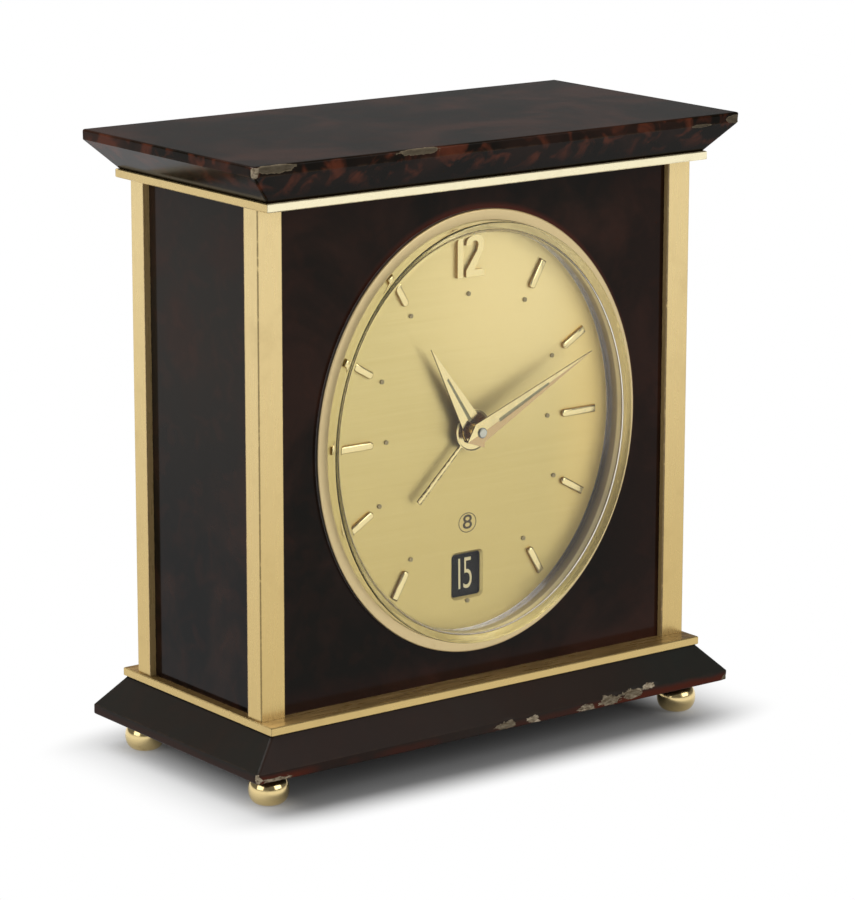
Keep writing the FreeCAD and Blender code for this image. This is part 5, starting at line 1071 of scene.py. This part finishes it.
class CLOCK_OT_screws(Step, bpy.types.Operator):
    """Build the slotted steel screws"""

    bl_idname = "clock.screws"
    bl_label = "Screws"

    def build(self):
        shank, foot = sizes().screw_radius, -sizes().screw_length
        head, top = sizes().head_radius, sizes().head_height
        soft, softer = 0.00025, 0.00008
        slot_half, slot_depth = 0.0002, 0.0004
        profile = [(0, foot), (shank - 0.0002, foot), (shank, foot + 0.0003), (shank, 0), (head, 0)]
        profile += [(head, top - soft), (head - softer, top - softer), (head - soft, top), (0, top)]
        bm = bmesh.new()
        for number, place in enumerate(screw_heads()):
            screw = bmesh.new()
            turned(screw, profile, Vector(), Vector((0, 1, 0)), steps=32)
            bmesh.ops.remove_doubles(screw, verts=screw.verts[:], dist=NEAR)
            slice_along(screw, 0, (-slot_half, slot_half))
            centres = [(face, face.calc_center_median()) for face in screw.faces]
            slot = [face for face, spot in centres if spot.y > top - soft and abs(spot.x) < slot_half]
            sunk = new_verts(bmesh.ops.extrude_face_region(screw, geom=slot))
            bmesh.ops.translate(screw, vec=(0, -slot_depth, 0), verts=sunk)
            turn = Matrix.Rotation(math.radians(37 * number), 4, "Y")
            pour_part(screw, bm, Matrix.Translation(place) @ turn)
        steel = plain_steel("screw_steel", roughness=0.2)
        piece("slotted_screws", bm, steel, "case", "screws", slot="steel")


class CLOCK_OT_back(Step, bpy.types.Operator):
    """Finish the back cover, knobs, keys and buttons"""

    bl_idname = "clock.back"
    bl_label = "Back"

    def build(self):
        finish(turned_brass("cover_brass", colours().brass), "back_cover")
        gilt = polished_brass("knob_gilt", colours().brass, 0.14, 0.2)
        finish(gilt, *ending("_knob", "_key", "_button", "_corrector", "_lever"))


class CLOCK_OT_movement(Step, bpy.types.Operator):
    """Finish the movement and the motion work"""

    bl_idname = "clock.movement"
    bl_label = "Movement"

    def build(self):
        finish(turned_brass("plate_brass", colours().movement), "calendar_plate", "front_plate", "rear_plate")
        brass = polished_brass("movement_brass", colours().movement, 0.22, 0.3)
        finish(brass, *ending("_barrel", "_wheel", "_driver", "_pinion"))
        finish(plain_steel("movement_steel"), "escape_wheel", "hairspring",
               *ending("_pillars", "_setting_arbor", "_winding_arbor", "_fork", "_hammer"))


# ---------- studio


def area_light(name, place, target, side, power):
    lamp = bpy.data.lights.new(name, "AREA")
    lamp.shape = "SQUARE"
    lamp.size = side
    lamp.energy = power
    made = link(bpy.data.objects.new(name, lamp))
    made.location = place
    made.rotation_euler = (Vector(target) - Vector(place)).to_track_quat("-Z", "Y").to_euler()


class CLOCK_OT_studio(Step, bpy.types.Operator):
    """Set up the floor, the soft lights, the surroundings and the camera"""

    bl_idname = "clock.studio"
    bl_label = "Studio"

    def build(self):
        self.floor()
        self.surroundings()
        self.lights()
        self.camera()
        bpy.context.scene.view_settings.view_transform = "Standard"

    def floor(self):
        """Paper that is white to the eye, apart from the clock's own shadow round its foot."""
        bm = bmesh.new()
        bmesh.ops.create_grid(bm, x_segments=1, y_segments=1, size=4.0)
        mesh = bpy.data.meshes.new("studio_floor")
        bm.to_mesh(mesh)
        bm.free()
        sweep = Finish("floor_paper")
        foot = half("plinth") / MM
        side_inset, front_inset, fade = 13.8, 1.3, 12.5
        inside = (foot.x - side_inset, foot.y - front_inset, 0)
        beyond = sweep.vector("SUBTRACT", sweep.vector("ABSOLUTE", sweep.mm), inside)
        beyond = sweep.vector("MULTIPLY", sweep.vector("MAXIMUM", beyond), (0.46, 1.0, 1.0))
        far = sweep.step(sweep.measure("DISTANCE", beyond), 0.0, fade)
        grain = sweep.ramp(sweep.noise(0.02, detail=2), (0.3, (0.37, 0.37, 0.37)), (0.7, (0.39, 0.39, 0.39)))
        paper = sweep.node("BsdfDiffuse", {"Color": grain})
        white = sweep.node("Emission", {"Color": (1, 1, 1), "Strength": 1.0})
        sweep.show_mix(sweep.times(far, sweep.seen()), paper, white)
        mesh.materials.append(sweep.material)
        link(bpy.data.objects.new("studio_floor", mesh))

    def surroundings(self):
        """White round the horizon and dimmer overhead, and a softer level as light on the clock."""
        world = bpy.data.worlds.new("studio")
        bpy.context.scene.world = world
        sky = Shading(world, "OutputWorld")
        height = sky.split(sky.node("TexCoord").outputs["Generated"])["Z"]
        shown = sky.node("Background", {"Strength": sky.step(height, 0.01, 0.09, 1.0, 0.20)})
        soft = sky.node("Background", {"Strength": bpy.context.scene.clock_studio.ambient})
        sky.show_mix(sky.seen(), soft, shown)

    def lights(self):
        studio = bpy.context.scene.clock_studio
        target = (0, 0, 0.06)
        area_light("overhead_light", (-0.22, 0.30, 0.80), target, 0.70, studio.key)
        area_light("front_light", (0.35, -0.95, 0.55), target, 0.80, studio.fill)
        area_light("left_light", (-1.0, -0.10, 0.45), target, 0.70, 0.6 * studio.fill)

    def camera(self):
        studio = bpy.context.scene.clock_studio
        camera = bpy.data.cameras.new("camera")
        camera.sensor_fit = "VERTICAL"
        camera.sensor_height = 36
        camera.lens = studio.lens
        camera.clip_start = 0.01
        made = link(bpy.data.objects.new("camera", camera))
        made.location = studio.place
        level = math.cos(studio.pitch)
        ahead = Vector((math.sin(studio.yaw) * level, math.cos(studio.yaw) * level, -math.sin(studio.pitch)))
        upright = ahead.to_track_quat("-Z", "Y").to_matrix().to_4x4()
        made.rotation_euler = (upright @ Matrix.Rotation(studio.roll, 4, "Z")).to_euler()
        bpy.context.scene.camera = made


# ---------- add-on


class CLOCK_PT_pieces(bpy.types.Panel):
    """The steps that dress the clock"""

    bl_label = "Desk Clock"
    bl_space_type = "VIEW_3D"
    bl_region_type = "UI"
    bl_category = "Desk Clock"

    def draw(self, context):
        for step in STEPS:
            self.layout.operator(step.bl_idname)
        for group, _ in GROUPS:
            column = self.layout.column()
            values = getattr(context.scene, group)
            for name in values.__annotations__:
                column.prop(values, name, text=name.replace("_", " ").capitalize())


STEPS = (
    CLOCK_OT_cap_and_plinth, CLOCK_OT_panels, CLOCK_OT_brass_frame, CLOCK_OT_feet, CLOCK_OT_bezel,
    CLOCK_OT_crystal, CLOCK_OT_dial, CLOCK_OT_markers, CLOCK_OT_hands, CLOCK_OT_date_ring,
    CLOCK_OT_screws, CLOCK_OT_back, CLOCK_OT_movement, CLOCK_OT_studio,
)
GROUPS = (("clock_sizes", ClockSizes), ("clock_colours", ClockColours), ("clock_studio", ClockStudio))


def register():
    for name, group in GROUPS:
        bpy.utils.register_class(group)
        setattr(bpy.types.Scene, name, PointerProperty(type=group))
    for step in STEPS + (CLOCK_PT_pieces,):
        bpy.utils.register_class(step)


def unregister():
    for step in (CLOCK_PT_pieces,) + STEPS[::-1]:
        bpy.utils.unregister_class(step)
    for name, group in GROUPS[::-1]:
        delattr(bpy.types.Scene, name)
        bpy.utils.unregister_class(group)


def main():
    register()
    for step in STEPS:
        area, name = step.bl_idname.split(".")
        getattr(getattr(bpy.ops, area), name)()
    plain = [name for name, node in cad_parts.items()
             if not node.hide_render and not any(node.data.materials)]
    if plain:
        raise RuntimeError(f"no finish on {plain}")


if __name__ == "__main__":
    main()
